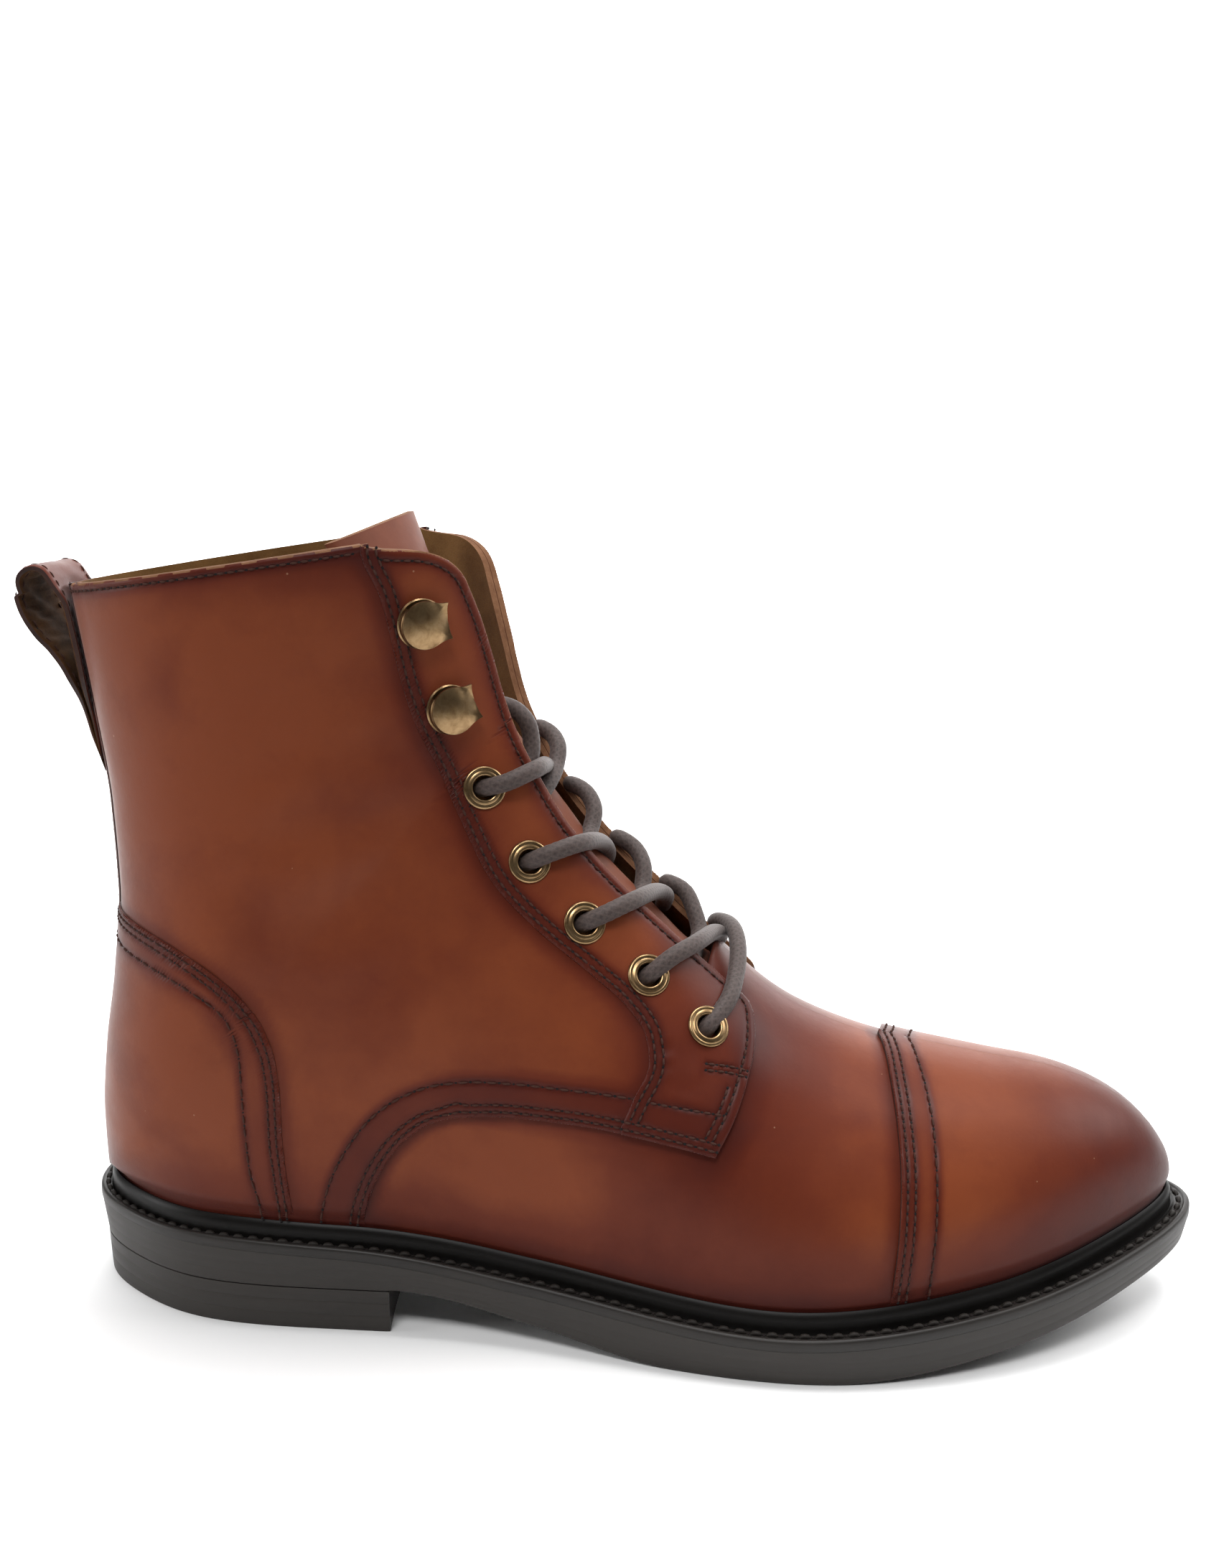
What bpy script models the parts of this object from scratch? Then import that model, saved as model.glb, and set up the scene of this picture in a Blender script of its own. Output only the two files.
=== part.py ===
"""Cap-toe lace-up boot for the right foot, empty and standing on its sole.

Metres, +Z up, toe toward +X, the outer (little-toe) side toward -Y.
Sizes below are in millimetres and are scaled when a piece is made.
"""
import functools
import math

import bmesh
import bpy
import numpy as np
from mathutils import Matrix, Vector

MM = 0.001

# Sole: outline of the welt's lip, seen from above, from the heel's back round the outer side.
SOLE_OUTLINE = (
    # x, y
    (0.0, 0.0),
    (3.6, -14.0),
    (17.2, -27.9),
    (38.9, -38.8),
    (113.8, -42.4),
    (197.2, -55.9),
    (255.0, -43.0),
    (290.0, -21.0),
    (308.0, 4.4),
    (291.0, 30.1),
    (255.0, 42.0),
    (213.0, 49.0),
    (160.0, 38.0),
    (116.0, 31.5),
    (75.0, 34.5),
    (38.9, 38.0),
    (17.2, 27.9),
    (3.6, 14.0),
)
# Height of the welt's lip and of the sole's underside along the boot.
LIP_HEIGHT = ((0, 25.7), (40, 25.7), (80, 24.4), (130, 18.2), (195, 12.8), (250, 17.2), (308, 28.2))
UNDERSIDE = ((0, 12.2), (92, 12.2), (130, 6.0), (168, 0.0), (206, 0.0), (255, 5.6), (308, 18.6))
HEEL_BLOCK_HEIGHT = 11.9
HEEL_BREAST_X = 92.0
HEEL_BREAST_HOLLOW = 2.5
SIDEWALL_INSET = 0.6
TREAD_INSET = 1.6
LAYER_GAP = 0.3
WELT_THICKNESS = 3.0
WELT_INSET_HEEL = 5.6
WELT_INSET_FORE = 7.6
RIM_HEIGHT = 4.5
BEAD_WIDTH = 2.4
INSOLE_THICKNESS = 3.2

# Upper: leather thicknesses, measured outward from the upper's face.
WALL = 1.5
QUARTER_LAYER = (0.3, 1.6)
TOP_LAYER = (0.3, 2.3)

# Upper: one row per section, each a straight cut from the base line to the ridge line.
# base_z of None lies on the welt's rim. wide_* are the greatest half widths, wide_at is how far
# up the cut they lie, crown is the exponent that rounds the top, mid_y is where the ridge runs.
SECTIONS = (
    # base_x, base_z, top_x, top_z, wide_outer, wide_inner, wide_at, crown, mid_y
    (300.4, None, 300.6, 36.5, 0.0, 0.0, 0.30, 2.6, 4.4),
    (299.2, None, 299.5, 40.5, 0.0, 0.0, 0.30, 2.6, 4.4),
    (296.0, None, 296.4, 46.0, 0.0, 0.0, 0.29, 2.6, 4.4),
    (290.0, None, 290.4, 52.6, 0.0, 0.0, 0.28, 2.5, 4.4),
    (281.0, None, 281.4, 58.6, 0.0, 0.0, 0.27, 2.4, 4.4),
    (266.0, None, 267.0, 63.8, 0.0, 0.0, 0.25, 2.3, 4.4),
    (246.0, None, 248.0, 67.0, 20.0, 20.0, 0.22, 2.15, 4.4),
    (222.0, None, 222.0, 72.0, 40.0, 36.0, 0.20, 2.0, 4.4),
    (198.0, None, 198.0, 81.0, 44.0, 40.0, 0.20, 1.9, 4.4),
    (174.0, None, 180.0, 95.0, 43.0, 38.0, 0.22, 1.9, 4.0),
    (148.0, None, 164.0, 112.0, 41.0, 36.5, 0.25, 1.95, 3.0),
    (120.0, None, 151.0, 126.5, 39.0, 35.5, 0.28, 2.0, 2.0),
    (93.5, None, 141.5, 138.6, 37.5, 35.0, 0.32, 2.0, 1.0),
    (52.0, None, 134.0, 151.0, 37.0, 35.5, 0.36, 2.05, 0.5),
    (22.0, None, 129.5, 161.0, 37.0, 36.0, 0.39, 2.1, 0.0),
    (5.6, None, 126.5, 169.0, 37.0, 36.2, 0.41, 2.1, 0.0),
    (5.2, 46.0, 125.0, 174.0, 37.0, 36.3, 0.43, 2.1, 0.0),
    (7.0, 66.0, 123.6, 180.0, 36.8, 36.2, 0.45, 2.15, 0.0),
    (10.6, 88.0, 122.4, 185.5, 36.3, 36.0, 0.47, 2.2, 0.0),
    (13.0, 112.0, 121.4, 191.0, 36.2, 36.0, 0.48, 2.2, 0.0),
    (12.4, 136.0, 120.6, 197.0, 36.8, 36.6, 0.49, 2.2, 0.0),
    (9.4, 162.0, 119.9, 203.5, 38.2, 38.0, 0.50, 2.2, 0.0),
    (4.6, 196.0, 119.0, 213.0, 40.0, 40.0, 0.50, 2.2, 0.0),
)
HEEL_ROW = 15
BACK_ROUND = 2.25
# Stations taken along the base line for the solids, as fractions between the rows above.
STATION_ROWS = (0, 0.5, 1, 1.6, 2.3, 3, 3.6, 4.3, 5, 6, 7, 8, 9, 10, 11, 12, 13, 13.5, 14, 14.4, 14.75, 15,
                15.6, 16.3, 17, 18, 19, 20, 21, 22)
LOW_STEPS = 4
HIGH_STEPS = 6

# Throat: half of the gap between the two facings, by height along the ridge line.
THROAT_GAP = ((84, 11.0), (92, 13.0), (110, 15.0), (138, 16.0), (168, 17.0), (186, 18.5), (194, 21.0),
              (201, 26.0), (206, 33.0), (212, 46.0), (222, 60.0))
THROAT_START_ROW = 8.95

# Panels, seen from the side (x, z).
EYESTAY_REAR = ((88, 214), (89.5, 205), (93, 196), (97, 175), (100, 164), (105, 152), (110.5, 139),
                (119, 122.5), (130, 110.5), (145, 98), (154, 90.5), (159.5, 83), (160.5, 77), (157, 68.5),
                (154, 61.5))
FACING_FRONT = ((187, 100), (187, 91), (186, 84), (184.3, 74), (181.5, 64), (178, 55.5))
ARCH = ((178, 55.5), (171, 57), (153, 59.8), (135, 61.3), (122, 62), (112, 61.5), (104, 59.5), (97, 54.5),
        (91.5, 47.5), (87.5, 39.5), (85, 31), (84, 22))
COUNTER_EDGE = ((-8, 116), (8, 115.5), (18, 117), (27, 113), (38, 106), (48, 100), (56, 93.5), (61, 86),
                (63.4, 77), (64, 66), (64.3, 54), (65, 43), (66, 33), (66.5, 22))
CAP_EDGE = ((219, 84), (220.3, 78), (222.6, 70), (224.2, 60), (224.8, 50), (224.4, 38), (223.4, 26),
            (222, 8))
PANEL_GAP = 0.3
FLATTEN_ANGLE = 1.5
SIDE_SPLIT_Y = 1.63
BACKSTAY_HALF_WIDTH = 8.0
BACKSTAY_TOP = 230.0
BACKSTAY_BOTTOM = 117.6

# Tongue: one row per cut across it, from under the vamp to its free top, leaning back at the top.
TONGUE_LAYER = (-2.5, -4.5)
TONGUE = (
    # section_row, half_width, lean_back, lift
    (8.3, 20.0, 0.0, 0.0),
    (9.0, 24.0, 0.0, 0.0),
    (10.0, 26.0, 0.0, 0.0),
    (11.0, 26.0, 0.0, 0.0),
    (12.0, 26.0, 0.0, 0.0),
    (13.0, 26.0, 1.2, 0.0),
    (14.0, 26.0, 5.0, 0.0),
    (15.0, 26.0, 7.5, 0.0),
    (17.0, 26.0, 9.5, 0.0),
    (19.0, 26.0, 12.0, 0.0),
    (21.0, 26.0, 17.0, 0.0),
    (22.0, 26.0, 21.0, 1.0),
)
TONGUE_COLUMNS = 9
TONGUE_TWIST = 3.0
TONGUE_DROP = 1.5
TONGUE_FLATTEN = 0.25

# Pull loop at the back: strip seen from the side (x, z), sewn on below and looped above.
LOOP_HALF_WIDTH = 12.0
LOOP_THICKNESS = 1.8
LOOP_PATH = ((7.2, 150), (5.8, 160), (3.0, 168), (-2.6, 175.5), (-8.0, 181.5), (-11.4, 188.5), (-12.0, 195),
             (-9.6, 200.2), (-4.6, 202.0), (1.0, 200.6), (5.6, 199.0))

# Eyelets and hooks on the outer side, seen from the side (x, z), from the toe up.
EYELETS = ((175.0, 84.5), (159.5, 97.5), (143.0, 111.5), (129.0, 127.5), (117.5, 146.5))
EYELET_RING_RADIUS = 5.6
EYELET_HOLE_RADIUS = 2.9
EYELET_SEGMENTS = 9
HOOKS = ((108.5, 166.5), (102.5, 188.5))
HOOK_RADIUS = 6.6
LACE_RADIUS = 2.2
LACE_SIDES = 8


def monotone(knots):
    """Return a smooth function through (x, value) knots that never overshoots them."""
    x = np.array([k[0] for k in knots], float)
    v = np.array([k[1] for k in knots], float)
    step = np.diff(x)
    slope = np.diff(v) / step
    m = np.zeros(len(x))
    for i in range(1, len(x) - 1):
        if slope[i - 1] * slope[i] > 0:
            a = 2 * step[i] + step[i - 1]
            b = step[i] + 2 * step[i - 1]
            m[i] = (a + b) / (a / slope[i - 1] + b / slope[i])
    m[0], m[-1] = slope[0], slope[-1]

    def value(q):
        q = np.clip(np.asarray(q, float), x[0], x[-1])
        i = np.clip(np.searchsorted(x, q, side="right") - 1, 0, len(x) - 2)
        t = (q - x[i]) / step[i]
        return (v[i] * (1 + 2 * t) * (1 - t) ** 2 + m[i] * step[i] * t * (1 - t) ** 2
                + v[i + 1] * t * t * (3 - 2 * t) + m[i + 1] * step[i] * t * t * (t - 1))

    return value


def closed_spline(points, count):
    """Return count points evenly placed on a smooth closed curve through the given points."""
    p = np.array(points, float)
    n = len(p)
    h = np.linalg.norm(np.roll(p, -1, axis=0) - p, axis=1) ** 0.75
    back = np.roll(h, 1)
    matrix = np.zeros((n, n))
    right = np.zeros((n, 2))
    for i in range(n):
        matrix[i, i - 1] += h[i]
        matrix[i, i] += 2 * (h[i] + back[i])
        matrix[i, (i + 1) % n] += back[i]
        ahead = (p[(i + 1) % n] - p[i]) / h[i]
        behind = (p[i] - p[i - 1]) / back[i]
        right[i] = 3 * (h[i] * behind + back[i] * ahead)
    m = np.linalg.solve(matrix, right)
    out = []
    for i in range(n):
        t = np.arange(0, 1, n / count)[:, None]
        j = (i + 1) % n
        out.append(p[i] * (1 + 2 * t) * (1 - t) ** 2 + m[i] * h[i] * t * (1 - t) ** 2
                   + p[j] * t * t * (3 - 2 * t) + m[j] * h[i] * t * t * (t - 1))
    return np.concatenate(out)


class Last:
    """The form the boot is made on: the sole's rails and the upper's sections."""

    def __init__(self):
        self.lip = monotone(LIP_HEIGHT)
        self.under = monotone(UNDERSIDE)
        self.inset = monotone(((0, WELT_INSET_HEEL), (60, WELT_INSET_HEEL), (120, WELT_INSET_FORE),
                               (308, WELT_INSET_FORE)))
        loop = closed_spline(SOLE_OUTLINE, 1800)
        tangent = np.roll(loop, -1, axis=0) - np.roll(loop, 1, axis=0)
        tangent /= np.linalg.norm(tangent, axis=1)[:, None]
        inward = np.stack([-tangent[:, 1], tangent[:, 0]], axis=1)
        feather = loop + inward * self.inset(loop[:, 0])[:, None]
        tip = int(np.argmax(feather[:, 0]))
        back = int(np.argmin(feather[:, 0]))
        self.branch = {}
        for side, start, stop in ((-1, back, tip), (1, tip, back)):
            index = np.arange(start, stop + 1 if stop > start else stop + 1 + len(loop)) % len(loop)
            order = np.argsort(feather[index, 0])
            self.branch[side] = (feather[index, 0][order], loop[index][order], inward[index][order],
                                 feather[index][order])
        self.tip_x = feather[tip, 0]
        self.heel_x = feather[back, 0]
        rows = [list(r) for r in SECTIONS]
        rows[0][0] = self.tip_x
        rows[HEEL_ROW][0] = self.heel_x
        for row in rows[:HEEL_ROW + 1]:
            row[1] = float(self.lip(row[0])) + RIM_HEIGHT
        rows[0][8] = self.rail(self.tip_x, -1)[2][1]
        self.column = [monotone([(i, row[c]) for i, row in enumerate(rows)]) for c in range(9)]

    def rail(self, x, side):
        """Return the lip point, its inward direction and the leather's foot point at a base x."""
        fx, loop, inward, feather = self.branch[side]
        pick = [np.array([np.interp(x, fx, a[:, k]) for k in (0, 1)]) for a in (loop, inward, feather)]
        pick[1] /= np.linalg.norm(pick[1])
        return pick

    def base(self, row):
        """Return the base point (x, z) of the cut at a fractional row."""
        x = float(self.column[0](row))
        if row <= HEEL_ROW:
            return x, float(self.lip(x)) + RIM_HEIGHT
        return x, float(self.column[1](row))

    def top(self, row):
        """Return the ridge point (x, y, z) of the cut at a fractional row."""
        return float(self.column[2](row)), float(self.column[8](row)), float(self.column[3](row))

    def widths(self, row, side):
        """Return greatest half width, half width at the base, height of the widest and crown."""
        mid = float(self.column[8](row))
        foot = 0.0
        if row < HEEL_ROW:
            foot = max(0.0, side * (self.rail(self.base(row)[0], side)[2][1] - mid))
        if row <= 0:
            return 1e-6, 0.0, float(self.column[6](row)), float(self.column[7](row))
        table = float(self.column[4 if side < 0 else 5](row))
        blend = 2.0 * min(1.0, foot / 10 + table / 40)
        wide = 0.5 * (table + foot + 0.4 + math.hypot(table - foot - 0.4, blend))
        return wide, foot, float(self.column[6](row)), float(self.column[7](row))

    def point(self, row, v, side):
        """Return the upper's face at a row and at v from 0 at the base to 1 at the ridge."""
        wide, foot, at, crown = self.widths(row, side)
        split = LOW_STEPS / (LOW_STEPS + HIGH_STEPS)
        if v <= split:
            lean = math.cos(0.5 * math.pi * v / split)
            along = at * (1 - lean)
            close = 1 - (foot / wide) ** 2
            half = wide * math.sqrt(max(0.0, 1 - close * lean ** BACK_ROUND))
        else:
            lean = math.sin(0.5 * math.pi * (v - split) / (1 - split))
            along = at + (1 - at) * lean
            half = wide * math.sqrt(max(0.0, 1 - lean ** crown))
        if row <= 0:
            half = 0.0
        (bx, bz), (tx, mid, tz) = self.base(row), self.top(row)
        return np.array([bx + (tx - bx) * along, mid + side * half, bz + (tz - bz) * along])

    def across(self, row, offset, side):
        """Return v where the face lies offset from the ridge's plane, above the widest."""
        wide, _, _, crown = self.widths(row, side)
        lean = max(0.0, 1 - (min(offset, wide) / wide) ** 2) ** (1 / crown)
        split = LOW_STEPS / (LOW_STEPS + HIGH_STEPS)
        return split + (1 - split) * 2 / math.pi * math.asin(min(1.0, lean))

    def normal(self, row, v, side):
        """Return the outward direction of the face."""
        dr, dv = 0.05, 0.01
        r0, r1 = max(0.02, row - dr), min(len(SECTIONS) - 1, row + dr)
        v0, v1 = max(0.0, v - dv), min(0.999, v + dv)
        along = self.point(r1, v, side) - self.point(r0, v, side)
        up = self.point(row, v1, side) - self.point(row, v0, side)
        n = np.cross(along, up) * side
        n /= np.linalg.norm(n)
        if v > 0.998:
            n[1] = 0.0
            n /= np.linalg.norm(n)
        return n

    @functools.lru_cache(maxsize=None)
    def locate(self, x, z, side):
        """Return the row and v of the face point seen at (x, z) from the side."""
        best = None
        rows = np.linspace(7, 22, 31)
        vs = np.linspace(0.3, 0.995, 30)
        for _ in range(5):
            for r in rows:
                for v in vs:
                    p = self.point(r, v, side)
                    d = (p[0] - x) ** 2 + (p[2] - z) ** 2
                    if best is None or d < best[0]:
                        best = (d, r, v)
            dr, dv = rows[1] - rows[0], vs[1] - vs[0]
            rows = np.linspace(best[1] - dr, min(22, best[1] + dr), 9)
            vs = np.linspace(best[2] - dv, min(0.999, best[2] + dv), 9)
        return best[1], best[2]


LAST = Last()


def material(name, colour, roughness, metallic=0.0):
    """Return a plain surface material of one colour."""
    mat = bpy.data.materials.new(name)
    mat.use_nodes = True
    shader = mat.node_tree.nodes["Principled BSDF"]
    shader.inputs["Base Color"].default_value = (*colour, 1.0)
    shader.inputs["Roughness"].default_value = roughness
    shader.inputs["Metallic"].default_value = metallic
    mat.diffuse_color = (*colour, 1.0)
    return mat


def solid(name, points, faces, mat=None):
    """Make a closed mesh object from millimetre points, faces turned outward."""
    mesh = bpy.data.meshes.new(name)
    mesh.from_pydata([tuple(float(c) * MM for c in p) for p in points], [], [tuple(f) for f in faces])
    build = bmesh.new()
    build.from_mesh(mesh)
    bmesh.ops.remove_doubles(build, verts=build.verts, dist=1e-6)
    bmesh.ops.triangulate(build, faces=build.faces, quad_method="FIXED", ngon_method="EAR_CLIP")
    bmesh.ops.recalc_face_normals(build, faces=build.faces)
    build.to_mesh(mesh)
    build.free()
    obj = bpy.data.objects.new(name, mesh)
    bpy.context.collection.objects.link(obj)
    if mat:
        mesh.materials.append(mat)
    return obj


def boolean(target, cutter, operation):
    """Apply one exact boolean to a piece and remove the tool."""
    step = target.modifiers.new(operation, "BOOLEAN")
    step.solver = "EXACT"
    step.use_self = True
    step.operation = operation
    step.object = cutter
    bpy.context.view_layer.update()
    graph = bpy.context.evaluated_depsgraph_get()
    result = bpy.data.meshes.new_from_object(target.evaluated_get(graph))
    target.modifiers.clear()
    old = target.data
    target.data = result
    bpy.data.meshes.remove(old)
    bpy.data.objects.remove(cutter)


def tidy(target, distance=0.02):
    """Weld slivers that a cut left behind."""
    build = bmesh.new()
    build.from_mesh(target.data)
    bmesh.ops.remove_doubles(build, verts=build.verts, dist=distance * MM)
    bmesh.ops.dissolve_degenerate(build, edges=build.edges, dist=distance * MM)
    flat = math.radians(FLATTEN_ANGLE)
    bmesh.ops.dissolve_limit(build, angle_limit=flat, verts=build.verts, edges=build.edges)
    bmesh.ops.triangulate(build, faces=build.faces)
    bmesh.ops.recalc_face_normals(build, faces=build.faces)
    build.to_mesh(target.data)
    build.free()


def face_grid():
    """Return the upper's face as welded points, quads and its two open edges."""
    names, points, quads = {}, [], []
    steps = LOW_STEPS + HIGH_STEPS
    heel = STATION_ROWS.index(HEEL_ROW)

    def vertex(side, i, j):
        shared = i == 0 or j == steps or (i >= heel and j <= 0)
        key = (0 if shared else side, i, j)
        if key not in names:
            names[key] = len(points)
            row = STATION_ROWS[i]
            if j < 0:
                p = LAST.point(row, 0.0, side)
                p[2] -= RIM_HEIGHT + WELT_THICKNESS
            else:
                p = LAST.point(row, j / steps, side)
            points.append(p)
        return names[key]

    foot_edge, collar_edge = [], []
    for side in (-1, 1):
        for i in range(len(STATION_ROWS) - 1):
            low = -1 if i < heel else 0
            for j in range(low, steps):
                corners = ((i, j), (i + 1, j), (i + 1, j + 1), (i, j + 1))
                ring = [vertex(side, a, b) for a, b in corners]
                quads.append(ring if side < 0 else ring[::-1])
            if i < heel:
                foot_edge.append((vertex(side, i, -1), vertex(side, i + 1, -1)))
        last = len(STATION_ROWS) - 1
        collar_edge += [(vertex(side, last, j), vertex(side, last, j + 1)) for j in range(steps)]
    return np.array(points), quads, foot_edge + collar_edge


def face_normals(points, quads):
    """Return an outward direction for every point of the face."""
    out = np.zeros_like(points)
    for a, b, c, d in quads:
        n = np.cross(points[c] - points[a], points[d] - points[b])
        for k in (a, b, c, d):
            out[k] += n
    out /= np.linalg.norm(out, axis=1)[:, None]
    middle = points.mean(axis=0)
    if np.einsum("ij,ij->i", out, points - middle).mean() < 0:
        out = -out
    return out


FACE_POINTS, FACE_QUADS, FACE_EDGES = face_grid()
FACE_NORMALS = face_normals(FACE_POINTS, FACE_QUADS)


def shell(name, inner, outer, mat):
    """Return the closed wall between two offsets of the upper's face."""
    count = len(FACE_POINTS)
    points = np.concatenate([FACE_POINTS + FACE_NORMALS * outer, FACE_POINTS + FACE_NORMALS * inner])
    faces = [q for q in FACE_QUADS]
    faces += [[q[k] + count for k in (0, 3, 2, 1)] for q in FACE_QUADS]
    faces += [[a, b, b + count, a + count] for a, b in FACE_EDGES]
    return solid(name, points, faces, mat)


def prism(name, outline, y_from, y_to):
    """Return a side-view outline drawn out across the boot."""
    count = len(outline)
    points = [(x, y_from, z) for x, z in outline] + [(x, y_to, z) for x, z in outline]
    faces = [list(range(count)), list(range(2 * count - 1, count - 1, -1))]
    faces += [[k, (k + 1) % count, (k + 1) % count + count, k + count] for k in range(count)]
    cutter = solid(name, points, faces)
    cutter.hide_render = True
    cutter.display_type = "WIRE"
    return cutter


def smooth_line(points, step=8.0):
    """Return a line through the points with its bends rounded, about step apart."""
    p = np.array(points, float)
    t = np.concatenate([[0], np.cumsum(np.linalg.norm(np.diff(p, axis=0), axis=1))])
    fx, fz = monotone(list(zip(t, p[:, 0]))), monotone(list(zip(t, p[:, 1])))
    q = np.linspace(0, t[-1], max(2, int(t[-1] / step) + 1))
    return list(zip(fx(q).tolist(), fz(q).tolist()))


def shifted(line, distance):
    """Return a side-view line moved sideways, to its left as it runs."""
    p = np.array(line)
    t = np.gradient(p, axis=0)
    t /= np.linalg.norm(t, axis=1)[:, None]
    return (p + np.stack([-t[:, 1], t[:, 0]], axis=1) * distance).tolist()


def rim_line(x_from, x_to, lift=RIM_HEIGHT + LAYER_GAP + 0.2):
    """Return the line just above the welt's rim between two places."""
    xs = np.linspace(x_from, x_to, max(2, int(abs(x_to - x_from) / 8) + 1))
    return [(float(x), float(LAST.lip(x)) + lift) for x in xs]


def throat_cutter():
    """Return the slot between the facings, following the ridge line to above the collar."""
    gap = monotone(THROAT_GAP)
    rows = np.concatenate([np.linspace(THROAT_START_ROW, 15, 12), np.linspace(16, 22, 10)])
    line = [LAST.top(r) for r in rows]
    last = np.array(line[-1])
    line.append(tuple(last + np.array([-1.5, 0.0, 9.0])))
    line = np.array(line)
    flow = np.gradient(line, axis=0)
    points, faces = [], []
    for k, p in enumerate(line):
        out = np.array([flow[k, 2], 0.0, -flow[k, 0]])
        out /= np.linalg.norm(out)
        half = float(gap(p[2]))
        deep = 12.0 + 0.7 * max(0.0, half - 16.0)
        for sign_y, reach in ((-1, -deep), (-1, 16.0), (1, 16.0), (1, -deep)):
            points.append(p + out * reach + np.array([0.0, sign_y * half, 0.0]))
        if k:
            a, b = 4 * (k - 1), 4 * k
            faces += [[a + m, a + (m + 1) % 4, b + (m + 1) % 4, b + m] for m in range(4)]
    n = 4 * (len(line) - 1)
    faces += [[0, 1, 2, 3], [n + 3, n + 2, n + 1, n]]
    cutter = solid("throat_slot", points, faces)
    cutter.hide_render = True
    cutter.display_type = "WIRE"
    return cutter


def lathe(name, place, axis, profile, segments, mat):
    """Return a ring turned from (radius, height) points about an axis."""
    axis = Vector(axis).normalized()
    turn = axis.to_track_quat("Z", "Y").to_matrix()
    points, faces = [], []
    count = len(profile)
    for s in range(segments):
        angle = 2 * math.pi * s / segments
        for radius, height in profile:
            spoke = Vector((radius * math.cos(angle), radius * math.sin(angle), height))
            points.append(Vector(place) + turn @ spoke)
    for s in range(segments):
        t = (s + 1) % segments
        for k in range(count):
            m = (k + 1) % count
            faces.append([s * count + k, t * count + k, t * count + m, s * count + m])
    return solid(name, points, faces, mat)


def plug(place, axis, radius, low, high, sides=EYELET_SEGMENTS):
    """Return a round bar that cuts a hole along an axis."""
    axis = Vector(axis).normalized()
    turn = axis.to_track_quat("Z", "Y").to_matrix()
    points = []
    for height in (low, high):
        for s in range(sides):
            angle = 2 * math.pi * s / sides
            spoke = Vector((radius * math.cos(angle), radius * math.sin(angle), height))
            points.append(Vector(place) + turn @ spoke)
    faces = [list(range(sides)), list(range(2 * sides - 1, sides - 1, -1))]
    faces += [[s, (s + 1) % sides, (s + 1) % sides + sides, s + sides] for s in range(sides)]
    return solid("hole", points, faces)


def tube(name, path, radius, mat, sides=LACE_SIDES):
    """Return a round cord along a path of points."""
    p = [Vector(q) for q in path]
    points, faces = [], []
    up = Vector((0.3, 0.1, 1.0))
    for k, q in enumerate(p):
        along = (p[min(k + 1, len(p) - 1)] - p[max(k - 1, 0)]).normalized()
        across = along.cross(up).normalized()
        rise = across.cross(along).normalized()
        for s in range(sides):
            angle = 2 * math.pi * s / sides
            points.append(q + (across * math.cos(angle) + rise * math.sin(angle)) * radius)
    for k in range(len(p) - 1):
        for s in range(sides):
            t = (s + 1) % sides
            faces.append([k * sides + s, k * sides + t, (k + 1) * sides + t, (k + 1) * sides + s])
    n = (len(p) - 1) * sides
    faces += [list(range(sides)), list(range(n + sides - 1, n - 1, -1))]
    return solid(name, points, faces, mat)


def slab(name, stations, inset_top, z_top, inset_low, z_low, mat):
    """Return a layer of the sole between two outlines given as insets from the lip."""
    points, faces = [], []
    for x in stations:
        for inset, height in ((inset_top, z_top), (inset_low, z_low)):
            for side in (-1, 1):
                lip, inward, foot = LAST.rail(x, side)
                depth = inset if inset < 100 else np.dot(foot - lip, inward) + inset - 100
                p = lip + inward * depth
                points.append((p[0], p[1], float(height(p[0]))))
    for k in range(len(stations) - 1):
        a, b = 4 * k, 4 * k + 4
        faces += [[a, b, b + 1, a + 1], [a + 2, a + 3, b + 3, b + 2]]
        faces += [[a, a + 2, b + 2, b], [a + 1, b + 1, b + 3, a + 3]]
    n = 4 * (len(stations) - 1)
    faces += [[0, 1, 3, 2], [n, n + 2, n + 3, n + 1]]
    return solid(name, points, faces, mat)


def base_stations():
    """Return the base x of every station of the sole, from the toe to the heel."""
    return [LAST.base(r)[0] for r in STATION_ROWS if r <= HEEL_ROW]


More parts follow.
